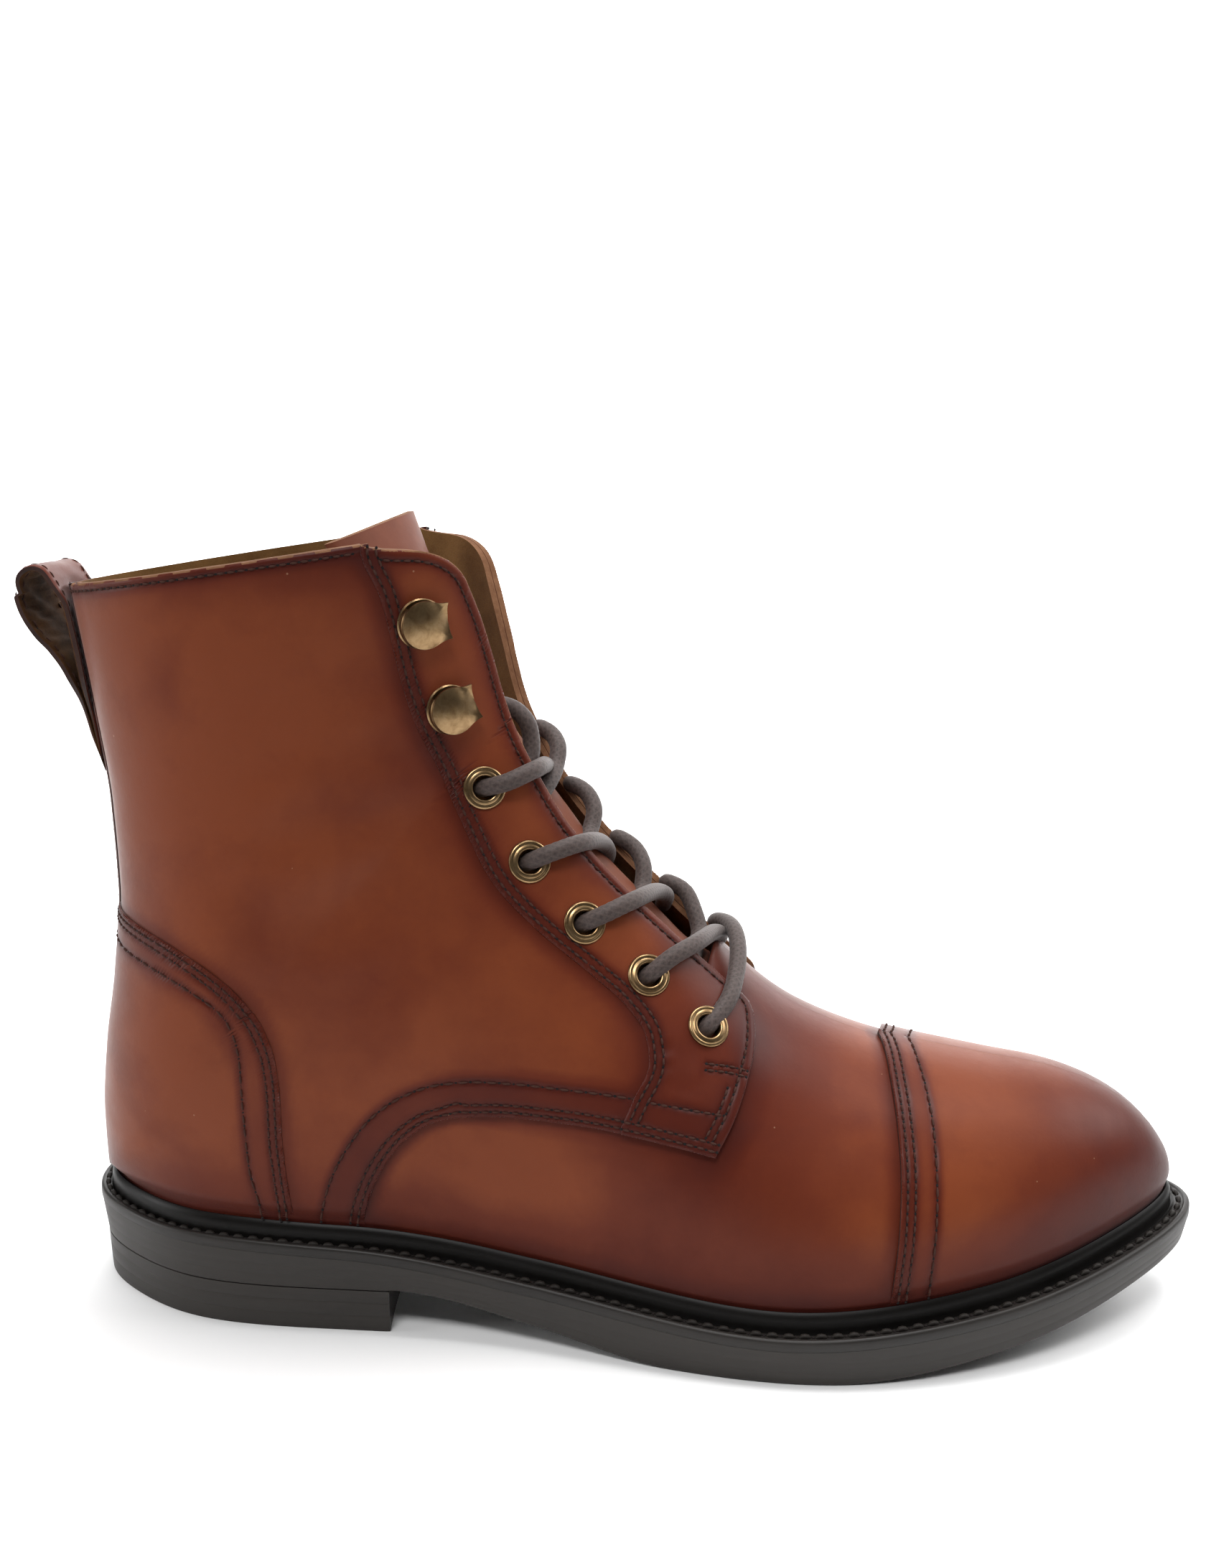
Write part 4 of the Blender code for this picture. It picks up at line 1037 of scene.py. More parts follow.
class Finishes:
    """Every finish of the boot, made once."""

    def __init__(self) -> None:
        """Build the materials."""
        self.leather = BurnishedLeather().make("burnished_leather")
        self.edge = PlainLeather((0.055, 0.022, 0.015), (0.018, 0.009, 0.008), 0.5, 2.0).make("inked_edge")
        self.raw = PlainLeather((0.235, 0.115, 0.060),
                                (0.115, 0.050, 0.024), 0.8, 1.2, 0.4, 0.1).make("raw_edge")
        self.lining = Suede((0.215, 0.110, 0.036), (0.115, 0.053, 0.016), 0.08).make("suede_lining")
        self.loop_lining = Suede((0.105, 0.046, 0.015), (0.034, 0.014, 0.005), 0.0).make("loop_suede")
        self.tongue = PlainLeather((0.165, 0.050, 0.026),
                                   (0.115, 0.033, 0.017), 0.55, 5.0, 0.15, 0.12).make("tongue_hide")
        self.insole = PlainLeather((0.25, 0.15, 0.07), (0.15, 0.08, 0.035), 0.7, 4.0).make("insole_hide")
        self.sole = Rubber((0.0300, 0.0255, 0.0222),
                           (0.0215, 0.0180, 0.0155), 0.5, 0.03, 0.32).make("sole_rubber")
        self.welt = Rubber((0.023, 0.0195, 0.017), (0.013, 0.011, 0.010), 0.45, 0.03, 0.3).make("welt_rubber")
        # near-black rubber over the welt's channel, bead and inner wall: the bead's own dark rubber, with
        # painted shade in the channel and the gap against the leather
        self.rand = Rubber((0.0075, 0.0065, 0.006), (0.004, 0.0035, 0.003), 0.4, 0.02, 0.14).make("rand_rubber_and_channel_shade")
        self.brass = AntiqueBrass().make("antique_brass")
        self.lace = WaxedCord((0.088, 0.062, 0.055), (0.017, 0.012, 0.011), 0.5).make("lace_braid")
        self.thread = WaxedCord((0.066, 0.030, 0.023),
                                (0.020, 0.009, 0.007), 0.2, 0.85, 0.0, 0.1).make("seam_thread")
        self.welt_thread = WaxedCord((0.020, 0.016, 0.0135),
                                     (0.007, 0.006, 0.005), 0.3, 0.6, 0.0, 0.2).make("welt_thread")
        # painted shade: near-black dots stand for the shade inside the needle holes
        self.hole = PlainLeather((0.012, 0.007, 0.006), (0.006, 0.004, 0.004), 0.9, 1.0).make("needle_hole_shade")


@dataclass
class Stretch:
    """One stretch of a panel's outline, as rows and v on the face."""

    kind: Edge
    path: np.ndarray


@dataclass
class Sheet:
    """A meshed half panel: its top, its triangles and which edges are open."""

    rv: np.ndarray
    side: int
    faces: np.ndarray
    open_edges: list
    edge_points: np.ndarray
    raw_points: np.ndarray


@dataclass
class Crease:
    """A soft trough in the leather, seen from the side, with a ridge along both flanks."""

    start: tuple
    end: tuple
    depth: float
    width: float
    bow: float = 0.0


CREASES = (
    Crease((60, 128), (96, 142), 0.45, 7.0, 3.0),
    Crease((52, 116), (98, 121), 0.4, 8.0, -4.0),
    Crease((78, 150), (99, 158), 0.3, 6.0, 2.0),
    Crease((196, 52), (214, 40), 0.35, 7.0, 3.0),
    Crease((190, 44), (204, 33), 0.3, 6.0, 2.0),
    Crease((163, 80.5), (172, 77.5), 0.22, 1.6, 0.6),
    Crease((164, 76.5), (171, 74.5), 0.18, 1.4, 0.4),
    Crease((165, 72.8), (173, 70.8), 0.18, 1.5, -0.4),
)


def crease_height(points: np.ndarray) -> np.ndarray:
    """Work out how far the creases push the leather in or out.

    Args:
        points: places on the face (n, 3).

    Returns:
        Heights (n,), negative in a trough.
    """
    out = np.zeros(len(points))
    q = points[:, [0, 2]]
    for c in CREASES:
        a, b = np.array(c.start, float), np.array(c.end, float)
        run = b - a
        size = float(np.linalg.norm(run))
        t = ((q - a) @ run) / size ** 2
        bend = c.bow * 4 * np.clip(t, 0, 1) * (1 - np.clip(t, 0, 1))
        off = ((q - a) @ np.array([-run[1], run[0]])) / size - bend
        fade = smoothstep(-0.15, 0.25, t) * (1 - smoothstep(0.75, 1.15, t))
        near = (off / c.width) ** 2
        out -= c.depth * fade * (np.exp(-near) - 0.45 * np.exp(-((np.abs(off) / c.width - 1.7) ** 2) * 2))
    return out


@dataclass
class DarkeningLine:
    """A line along which the leather is darker: burnishing, and at some lines painted shade."""

    points: np.ndarray
    plateau: float
    reach: float
    strength: float


class BurnishAndShade:
    """Where the leather is darker, gathered from seams, edges and the sole line: burnishing, with painted shade
    at some overlay edges and round the front tab.
    """

    def __init__(self) -> None:
        """Start with no lines."""
        self.lines: list[DarkeningLine] = []

    def add(self, rv: np.ndarray, plateau: float, reach: float, strength: float) -> None:
        """Add a line on both sides of the boot.

        Args:
            rv: line as rows and v.
            plateau: distance of full strength.
            reach: distance where it ends.
            strength: darkening, 0 to 1.
        """
        for side in (-1, 1):
            fine = LAST.along(rv, side, 0.8)
            self.lines.append(DarkeningLine(LAST.spot(fine, side), plateau, reach, strength))

    def at(self, points: np.ndarray) -> np.ndarray:
        """Give the darkening at each point, 0 to 1, burnishing and painted shade together.

        Args:
            points: places on the face (n, 3).

        Returns:
            Darkening (n,).
        """
        keep = np.ones(len(points))
        for line in self.lines:
            d = nearest(points, line.points)
            keep *= 1 - line.strength * (1 - smoothstep(line.plateau, line.reach, d))
        return 1 - keep


@dataclass
class Mesher:
    """Cuts leather panels from the upper's face and meshes them with rolled edges."""

    burnish_and_shade: BurnishAndShade
    step: float = 1.0
    rings: tuple = (0.42, 0.85, 1.45, 2.3)
    beside_row: tuple = (-2.3, -1.4, -0.75, -0.35, 0.0, 0.35, 0.75, 1.4, 2.3)
    hole_margin: float = 0.45
    roll: float = 0.55
    roll_width: float = 1.5
    groove_depth: float = 0.28
    groove_width: float = 0.5
    groove_tone: float = 0.75
    tone_width: float = 1.1
    raw_width: float = 0.5

    def half(self, outline: list[Stretch], side: int, grid: float, rows: list, holes: tuple) -> Sheet:
        """Mesh one side's share of a panel.

        Args:
            outline: stretches in order round the panel.
            side: side of the boot.
            grid: distance between inner points.
            rows: stitch rows to follow, as rows and v.
            holes: (row, v, radius) of round holes.

        Returns:
            The meshed half.
        """
        loop, kinds = [], []
        for stretch in outline:
            p = LAST.along(stretch.path, side, self.step)
            loop.append(p[:-1])
            kinds += [stretch.kind] * (len(p) - 1)
        rv = np.concatenate(loop)
        flat, place, count = LAST.chart(rv), LAST.spot(rv, side), len(rv)
        raw = np.array([k is Edge.RAW for k in kinds])
        rolled = np.array([k in (Edge.CUT, Edge.RAW) for k in kinds])
        rolled |= np.roll(rolled, 1)
        guide = self.guides(rv, side, rolled, rows)
        guide = guide[within(flat, LAST.chart(guide))]
        guide = guide[nearest(LAST.spot(guide, side), place) > 0.2]
        inner = self.lattice(flat, grid)
        inner = inner[nearest(LAST.spot(inner, side), place) > 0.55 * grid]
        inner = inner[nearest(LAST.spot(inner, side), LAST.spot(guide, side)) > 0.5 * grid]
        links = [(k, (k + 1) % count) for k in range(count)]
        pools = [rv, guide, inner]
        for row, v, radius in holes:
            used = sum(len(q) for q in pools)
            ring = self.circle(row, v, side, radius)
            links += [(used + k, used + (k + 1) % len(ring)) for k in range(len(ring))]
            pools.append(ring)
        allp = np.concatenate(pools)
        keep = np.ones(len(allp), bool)
        world = LAST.spot(allp, side)
        start = count + len(guide) + len(inner)
        for row, v, radius in holes:
            far = np.linalg.norm(world - LAST.point(row, v, side), axis=1)
            keep[count:start] &= far[count:start] > radius + self.hole_margin
        index = np.cumsum(keep) - 1
        links = [(int(index[a]), int(index[b])) for a, b in links]
        allp = allp[keep]
        spread = [Vector(q) for q in LAST.chart(allp)]
        verts, _, tris, origin, _, _ = delaunay_2d_cdt(spread, links, [], 1, 1e-5)
        out_flat = np.array([(q[0], q[1]) for q in verts])
        out = LAST.unchart(out_flat)
        for k, src in enumerate(origin):
            if src:
                out[k] = allp[src[0]]
        faces = np.array([t for t in tris if len(t) == 3])
        good = within(flat, out_flat[faces].mean(axis=1))
        world = LAST.spot(out, side)
        for row, v, radius in holes:
            gap = np.linalg.norm(world[faces].mean(axis=1) - LAST.point(row, v, side), axis=1)
            good &= gap > radius * 0.98
        faces = faces[good]
        a, b, c = (out_flat[faces[:, k]] for k in range(3))
        flip = ((b - a)[:, 0] * (c - a)[:, 1] - (b - a)[:, 1] * (c - a)[:, 0]) * side > 0
        faces[flip] = faces[flip][:, ::-1]
        first = {src[0]: k for k, src in enumerate(origin) if src}
        home = {first[j]: j for j in range(count) if j in first}
        return Sheet(out, side, faces, self.open_edges(faces, home, kinds, count), place[rolled], place[raw])

    def guides(self, rv: np.ndarray, side: int, rolled: np.ndarray, rows: list) -> np.ndarray:
        """Set points that follow the rolled edges and the stitch rows.

        Args:
            rv: outline as rows and v.
            side: side of the boot.
            rolled: which outline points lie on a rolled edge.
            rows: stitch rows.

        Returns:
            Points as rows and v, not yet trimmed to the panel.
        """
        flat, place = LAST.chart(rv), LAST.spot(rv, side)
        area = 0.5 * np.sum(flat[:, 0] * np.roll(flat[:, 1], -1) - np.roll(flat[:, 0], -1) * flat[:, 1])
        tangent = unit(np.roll(place, -1, axis=0) - np.roll(place, 1, axis=0))
        inward = unit(side * np.cross(LAST.outward(rv, side), tangent)) * (1.0 if area > 0 else -1.0)
        out = []
        for ring in self.rings:
            moved = LAST.slide(rv[rolled], side, inward[rolled] * ring)
            out.append(moved[nearest(LAST.spot(moved, side), place) > 0.8 * ring])
        for row in rows:
            out += [LAST.beside(LAST.along(row, side, 0.9), side, off) for off in self.beside_row]
        return np.concatenate(out)

    @staticmethod
    def lattice(flat: np.ndarray, grid: float) -> np.ndarray:
        """Fill an outline in the chart with a staggered grid, given as rows and v.

        Args:
            flat: outline in the chart.
            grid: distance between points.

        Returns:
            The points inside.
        """
        lo, hi = flat.min(axis=0), flat.max(axis=0)
        us, vs = np.arange(lo[0], hi[0], grid), np.arange(lo[1], hi[1], grid)
        inner = np.stack(np.meshgrid(us, vs, indexing="ij"), axis=-1)
        inner[:, 1::2, 0] += 0.5 * grid
        inner = LAST.unchart(inner.reshape(-1, 2))
        inner = inner[(inner[:, 1] < RIDGE) & (inner[:, 1] > LOWEST)]
        return inner[within(flat, LAST.chart(inner))]

    @staticmethod
    def circle(row: float, v: float, side: int, radius: float) -> np.ndarray:
        """Draw a round hole on the face as rows and v.

        Args:
            row: section row of its centre.
            v: v of its centre.
            side: -1 for the outer side, 1 for the inner.
            radius: radius of the hole.

        Returns:
            Points round the hole.
        """
        n = LAST.normal(np.array([row]), np.array([v]), side)[0]
        a = unit(np.cross(n, [0.0, 0.0, 1.0]))
        b = np.cross(n, a)
        turn = np.linspace(0, 2 * np.pi, 28, endpoint=False)
        move = (np.cos(turn)[:, None] * a + np.sin(turn)[:, None] * b) * radius
        return LAST.slide(np.tile([row, v], (len(turn), 1)), side, move)

    @staticmethod
    def open_edges(faces: np.ndarray, home: dict, kinds: list, count: int) -> list:
        """List edges with one face, with the kind of stretch that they lie on.

        Args:
            faces: triangles.
            home: outline index of each vertex on the outline.
            kinds: kind of each step of the outline.
            count: number of outline points.

        Returns:
            First vertex, second vertex and kind of each edge.
        """
        seen: dict = {}
        for tri in faces:
            for k in range(3):
                a, b = int(tri[k]), int(tri[(k + 1) % 3])
                if (b, a) in seen:
                    del seen[(b, a)]
                else:
                    seen[(a, b)] = True
        out = []
        for a, b in seen:
            ja, jb = home.get(a), home.get(b)
            kind = Edge.CUT
            if ja is not None and jb is not None:
                low = ja if (ja + 1) % count == jb else jb
                kind = kinds[low]
            out.append((a, b, kind))
        return out

    def panel(self, name: str, halves: list[Sheet], layer: tuple, finish: Finishes,
              grooves: list) -> Piece:
        """Make a leather panel from its halves.

        Args:
            name: piece name.
            halves: meshed halves, joined where they fold.
            layer: heights of its underside and its face over the upper's face.
            finish: the boot's finishes.
            grooves: stitch rows as points in space.

        Returns:
            The panel.
        """
        points, faces, slots, tones = [], [], [], []
        base = 0
        thread = np.concatenate(grooves) if grooves else np.zeros((0, 3))
        for sheet in halves:
            p = LAST.spot(sheet.rv, sheet.side)
            n = LAST.outward(sheet.rv, sheet.side)
            s = np.clip(nearest(p, sheet.edge_points) / self.roll_width, 0, 1)
            down = self.roll * (1 - np.sqrt(np.maximum(0, 1 - (1 - s) ** 2)))
            over = p[:, 2] - np.where(sheet.rv[:, 0] <= HEEL_ROW, LAST.lip(p[:, 0]) + RIM_HEIGHT, -FAR)
            ease = smoothstep(-0.5, 6.0, over)
            top = np.minimum(layer[1], 0.2) + (layer[1] - np.minimum(layer[1], 0.2)) * ease
            away = nearest(p, thread)
            groove = self.groove_depth * np.exp(-(away / self.groove_width) ** 2)
            height = np.maximum(top - down - groove + crease_height(p), layer[0] + 0.15 * ease)
            low = np.minimum(layer[0], height - 0.1)
            count = len(p)
            points += [p + n * height[:, None], p + n * low[:, None]]
            seam = self.groove_tone * np.exp(-(away / self.tone_width) ** 2)
            tone = 1 - (1 - self.burnish_and_shade.at(p)) * (1 - seam)
            tones += [tone, tone]
            faces += [list(t + base) for t in sheet.faces]
            faces += [list(t[::-1] + base + count) for t in sheet.faces]
            pale = (nearest(p, sheet.raw_points) < self.raw_width)[sheet.faces].all(axis=1)
            slots += np.where(pale, 2, 0).tolist() + [0] * len(sheet.faces)
            for a, b, kind in sheet.open_edges:
                if kind is not Edge.FOLD:
                    faces.append([b + base, a + base, a + base + count, b + base + count])
                    slots.append(2 if kind is Edge.RAW else 1)
            base += 2 * count
        return BUILD.piece(name, np.concatenate(points), faces, [finish.leather, finish.edge, finish.raw],
                           np.array(slots), {"burnish_and_shade": np.concatenate(tones)}, weld=0.03)


def slab(top: np.ndarray, low: np.ndarray) -> tuple[np.ndarray, list, np.ndarray]:
    """Close the space between two grids of points.

    Args:
        top: upper grid (n, m, 3).
        low: lower grid of the same size.

    Returns:
        Points, faces, and for each face 0 on the top, 1 on the rim and 2 underneath.
    """
    n, m = top.shape[:2]
    index = np.arange(n * m).reshape(n, m)
    faces, part = [], []
    for sheet, kind in ((index, 0), (index + n * m, 2)):
        a, b, c, d = sheet[:-1, :-1], sheet[1:, :-1], sheet[1:, 1:], sheet[:-1, 1:]
        quads = np.stack([a, b, c, d] if kind == 0 else [a, d, c, b], axis=-1).reshape(-1, 4)
        faces += quads.tolist()
        part += [kind] * len(quads)
    border = np.concatenate([index[:, 0], index[-1, 1:], index[-2::-1, -1], index[0, -2:0:-1]])
    for a, b in zip(border, np.roll(border, -1)):
        faces.append([int(b), int(a), int(a) + n * m, int(b) + n * m])
        part.append(1)
    return np.concatenate([top.reshape(-1, 3), low.reshape(-1, 3)]), faces, np.array(part)


@dataclass
class Stitching:
    """Sewn rows: raised threads between near-black dots, painted shade that stands for the needle holes."""

    pitch: float = 2.6
    length: float = 1.95
    radius: float = 0.31
    hole: float = 0.46
    rows: list = field(default_factory=list)

    def add(self, rv: np.ndarray, height: float, pitch: float) -> None:
        """Sew a row along a line of the face at a height over it, on both sides.

        Args:
            rv: line as rows and v.
            height: height over the face.
            pitch: length of a stitch with its gap.
        """
        for side in (-1, 1):
            fine = LAST.along(rv, side, 0.6)
            p = LAST.spot(fine, side)
            n = LAST.outward(fine, side)
            rim = p[:, 2] - (LAST.lip(p[:, 0]) + RIM_HEIGHT) > np.where(fine[:, 0] <= HEEL_ROW, 0.6, -FAR)
            if rim.sum() > 8:
                p, n = p[rim], n[rim]
                push = crease_height(p) + height
                self.rows.append((p + n * push[:, None], n, pitch))

    def build(self, name: str, thread: Material, hole: Material) -> Piece:
        """Make all rows as one joined mesh.

        Args:
            name: piece name.
            thread: material of the stitches.
            hole: near-black material of the dots painted as the needle holes' shade.

        Returns:
            The sewn rows.
        """
        ring, rib = 6, 5
        turn = np.linspace(0, 2 * np.pi, ring, endpoint=False)
        swell = [(a, math.sqrt(1.05 - a ** 4)) for a in np.linspace(-1, 1, rib)]
        body = np.array([(a, np.cos(t) * r, np.sin(t) * r - 0.75 * a * a) for a, r in swell for t in turn])
        joins = ring_quads(rib, ring) + [list(range(ring))[::-1], list(range((rib - 1) * ring, rib * ring))]
        # a low near-black dot at each needle hole: painted shade in place of a real hole
        dot = np.array([(np.cos(t) * r, np.sin(t) * r, h) for r, h in ((1.0, -0.3), (0.8, 0.12), (0.35, 0.16))
                        for t in turn])
        dot_joins = ring_quads(3, ring) + [list(range(2 * ring, 3 * ring))]
        parts, slots, proud_highlight = [], [], []
        for p, n, pitch in self.rows:
            run = lengths(p)
            count = max(1, int(run[-1] / pitch))
            at = (np.arange(count) + 0.5) * run[-1] / count
            ends = np.arange(count + 1) * run[-1] / count
            stitch = (self.length * pitch / self.pitch / 2, self.radius, self.radius)
            prick = (self.hole, self.hole * 0.85, self.hole * 0.5)
            for kind, (spots, form, faces, size, raised) in enumerate(
                    ((at, body, joins, stitch, 0.12), (ends, dot, dot_joins, prick, -0.02))):
                c, up = sample(spots, run, p), unit(sample(spots, run, n))
                ahead = sample(spots + 0.5, run, p) - sample(spots - 0.5, run, p)
                t = unit(ahead - up * (ahead * up).sum(1)[:, None])
                b = np.cross(up, t)
                # painted highlight: each stitch coloured lighter on its upper side than below
                top_highlight = np.zeros(len(form)) if kind else np.clip(form[:, 2] * 0.6 + 0.5, 0, 1)
                for k in range(len(spots)):
                    axes = np.stack([t[k] * size[0], b[k] * size[1], up[k] * size[2]])
                    parts.append((c[k] + form @ axes + up[k] * raised, faces))
                    slots += [kind] * len(faces)
                    proud_highlight.append(top_highlight)
        points, out = joined(parts)
        return BUILD.piece(name, points, out, [thread, hole], np.array(slots),
                           {"proud_highlight": np.concatenate(proud_highlight)}, sharp=80)


@dataclass
class Upper:
    """Leather upper: vamp, cap, quarters, facings, counter, back strip and lining."""

    finish: Finishes
    wall: float = 1.5
    vamp_layer: tuple = (-1.1, 0.0)
    quarter_layer: tuple = (0.25, 1.6)
    top_layer: tuple = (0.25, 2.35)
    vamp_end: float = 9.22
    hole_radius: float = 3.3
    strip_half: float = 8.0
    strip_layer: tuple = (1.3, 2.6)
    strip_foot: float = 17.93
    strip_tone: float = 0.72
    thread_sink: float = 0.12
    long_pitch: float = 3.7
    burnish_and_shade: BurnishAndShade = field(default_factory=BurnishAndShade)

    def __post_init__(self) -> None:
        """Find every seam on the face and note where the leather is darker, by burnishing or painted shade."""
        self.rear = LAST.from_side(EYESTAY_REAR)
        self.rear[0] = THROAT[0]
        self.arch = LAST.from_side(ARCH)
        self.arch_row = LAST.from_side(ARCH_ROW)
        self.counter = LAST.from_side(COUNTER_EDGE)
        self.counter_row = LAST.from_side(COUNTER_ROW)
        self.cap = self.to_ridge(LAST.from_side(CAP_EDGE))
        self.cap_row = self.to_ridge(LAST.from_side(CAP_ROW))
        for line in (self.counter, self.counter_row):
            line[0, 1] = 0.0
        for line in (self.arch, self.counter, self.cap):
            line[-1, 1] = 0.0
        self.join = int(np.argmin(np.linalg.norm(LAST.chart(self.arch) - LAST.chart(self.rear[-1:]), axis=1)))
        self.front = THROAT[-20:]
        self.collar = np.stack([np.full(40, float(LAST_ROW)), np.linspace(0, COLLAR_END, 40)], axis=1)
        foot = np.stack([np.linspace(0, HEEL_ROW, 200), np.zeros(200)], axis=1)
        spine = np.stack([np.linspace(17.9, LAST_ROW, 40), np.zeros(40)], axis=1)
        note = self.burnish_and_shade.add
        note(self.rear, 0.3, 5.0, 0.46)
        note(self.rear, 2.0, 16.0, 0.16)
        note(LAST.beside(self.rear, -1, -2.4), 1.6, 5.0, 0.24)
        note(THROAT, 1.5, 8.5, 0.36)
        note(self.front, 2.0, 9.0, 0.45)
        # wide darkening round the facing's front tab and over the middle of the vamp: partly burnishing, partly
        # painted shade of the tab's shadow
        note(self.front, 4.0, 44.0, 0.55)
        note(self.collar, 1.0, 5.5, 0.5)
        note(self.collar, 1.0, 14.0, 0.25)
        # darkening on both sides of the counter's edge: burnishing on the counter, painted shade of its thin
        # shadow on the quarter
        note(self.counter, 0.3, 5.0, 0.24)
        note(LAST.beside(self.counter, -1, 5.2, 3), 4.2, 9.0, 0.26)
        # darkening on both sides of the arch's edge: burnishing on the overlay, painted shade of its thin
        # shadow on the vamp below
        note(self.arch, 0.3, 4.2, 0.32)
        note(LAST.beside(self.arch, -1, 5.0, 3), 4.2, 8.6, 0.58)
        note(self.cap, 0.4, 5.0, 0.40)
        note(LAST.beside(self.cap, -1, -5.0, 3), 4.0, 7.5, 0.22)
        note(foot, 2.0, 22.0, 0.45)
        note(foot, 0.5, 7.0, 0.6)
        note(np.stack([np.linspace(0, 4.2, 30), np.full(30, 0.12)], axis=1), 4.0, 50.0, 0.72)
        note(spine, 8.0, 14.0, 0.4)
        self.mesher = Mesher(self.burnish_and_shade)

    @staticmethod
    def to_ridge(line: np.ndarray) -> np.ndarray:
        """Carry a line that nears the ridge on to it."""
        keep = line[line[:, 1] < 0.93]
        return np.concatenate([[(keep[0, 0] + 0.06, RIDGE), (keep[0, 0] + 0.03, 0.965)], keep])

    @staticmethod
    def foot_run(row_from: float, row_to: float) -> Stretch:
        """Run along the base, tucked behind the welt."""
        n = max(4, int(abs(row_to - row_from) * 8))
        return Stretch(Edge.FOOT, np.stack([np.linspace(row_from, row_to, n), np.full(n, TUCK)], axis=1))

    @staticmethod
    def tuck(place: np.ndarray, down: bool) -> Stretch:
        """Step between the base and its tucked edge."""
        path = np.array([(place[0], 0.0), (place[0], TUCK)])
        return Stretch(Edge.BUTT, path if down else path[::-1])

    @staticmethod
    def straight(kind: Edge, a: tuple, b: tuple, count: int = 24) -> Stretch:
        """Run straight between two places."""
        return Stretch(kind, np.linspace(np.array(a, float), np.array(b, float), count))

    @staticmethod
    def grooves(lines: list, sides: tuple) -> list:
        """Place stitch rows in space."""
        return [LAST.spot(LAST.along(line, side, 0.8), side) for line in lines for side in sides]

    def panel(self, name: str, outline: list[Stretch], layer: tuple, rows: list, sides: tuple = (-1, 1),
              grid: float = 1.5, holes: tuple = ()) -> Piece:
        """Cut a panel and groove it along its stitch rows.

        Args:
            name: piece name.
            outline: stretches in order round one half.
            layer: heights of its underside and its face.
            rows: stitch rows as rows and v.
            sides: sides of the boot that it covers.
            grid: distance between inner points.
            holes: (row, v, radius) of round holes.

        Returns:
            The panel.
        """
        halves = [self.mesher.half(outline, side, grid, rows, holes) for side in sides]
        return self.mesher.panel(name, halves, layer, self.finish, self.grooves(rows, sides))

    def make_cap(self) -> Piece:
        """Make the toe cap.

        Returns:
            The cap.
        """
        rows = [LAST.beside(self.cap, -1, -1.5), LAST.beside(self.cap, -1, -3.5), self.cap_row]
        self.cap_rows = rows
        outline = [Stretch(Edge.CUT, self.cap), self.tuck(self.cap[-1], True),
                   self.foot_run(self.cap[-1, 0], 0.0), self.straight(Edge.FOLD, (0, TUCK), (0, RIDGE)),
                   self.straight(Edge.FOLD, (0, RIDGE), self.cap[0], 60)]
        return self.panel("cap_leather", outline, self.quarter_layer, rows)

    def make_vamp(self) -> Piece:
        """Make the vamp, running under the cap, the facings and the quarters.

        Returns:
            The vamp.
        """
        back = LAST.from_side(VAMP_BACK)
        back[-1, 1] = 0.0
        front = LAST.beside(self.cap, -1, -4.0, 2)
        front[0, 1] = RIDGE
        front[-1, 1] = 0.0
        end = (self.vamp_end, RIDGE)
        outline = [self.straight(Edge.FOLD, front[0], end, 40),
                   self.straight(Edge.CUT, end, back[0], 16), Stretch(Edge.BUTT, back),
                   self.tuck(back[-1], True), self.foot_run(back[-1, 0], front[-1, 0]),
                   self.tuck(front[-1], False), Stretch(Edge.BUTT, front[::-1])]
        return self.panel("vamp_leather", outline, self.vamp_layer, [], grid=1.7)

    def make_quarters(self) -> list[Piece]:
        """Make the two quarters, running under the facings, the counter and the back strip.

        Returns:
            Outer and inner quarter.
        """
        under = LAST.beside(self.rear, -1, -2.0)
        under[0] = (LAST_ROW, under[0, 1])
        heel = LAST.beside(self.counter, -1, 2.0)
        heel[0, 1] = heel[-1, 1] = 0.0
        arch = self.arch[self.join:]
        rows = [LAST.beside(self.arch, -1, 1.5), LAST.beside(self.arch, -1, 3.4), self.arch_row,
                LAST.beside(self.collar, -1, 0.9)]
        self.arch_rows = rows[:3]
        self.collar_row = rows[3]
        out = []
        for side, word in SIDES:
            outline = [self.straight(Edge.RAW, (LAST_ROW, 0.0), under[0], 60), Stretch(Edge.BUTT, under),
                       Stretch(Edge.BUTT, np.stack([under[-1], arch[0]])), Stretch(Edge.CUT, arch),
                       self.tuck(arch[-1], True), self.foot_run(arch[-1, 0], heel[-1, 0]),
                       self.tuck(heel[-1], False), Stretch(Edge.BUTT, heel[::-1]),
                       self.straight(Edge.BUTT, heel[0], (LAST_ROW, 0.0), 40)]
            piece = self.panel("quarter_%s_leather" % word, outline, self.quarter_layer, rows, (side,))
            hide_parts("quarter_" + word)
            out.append(piece)
        return out

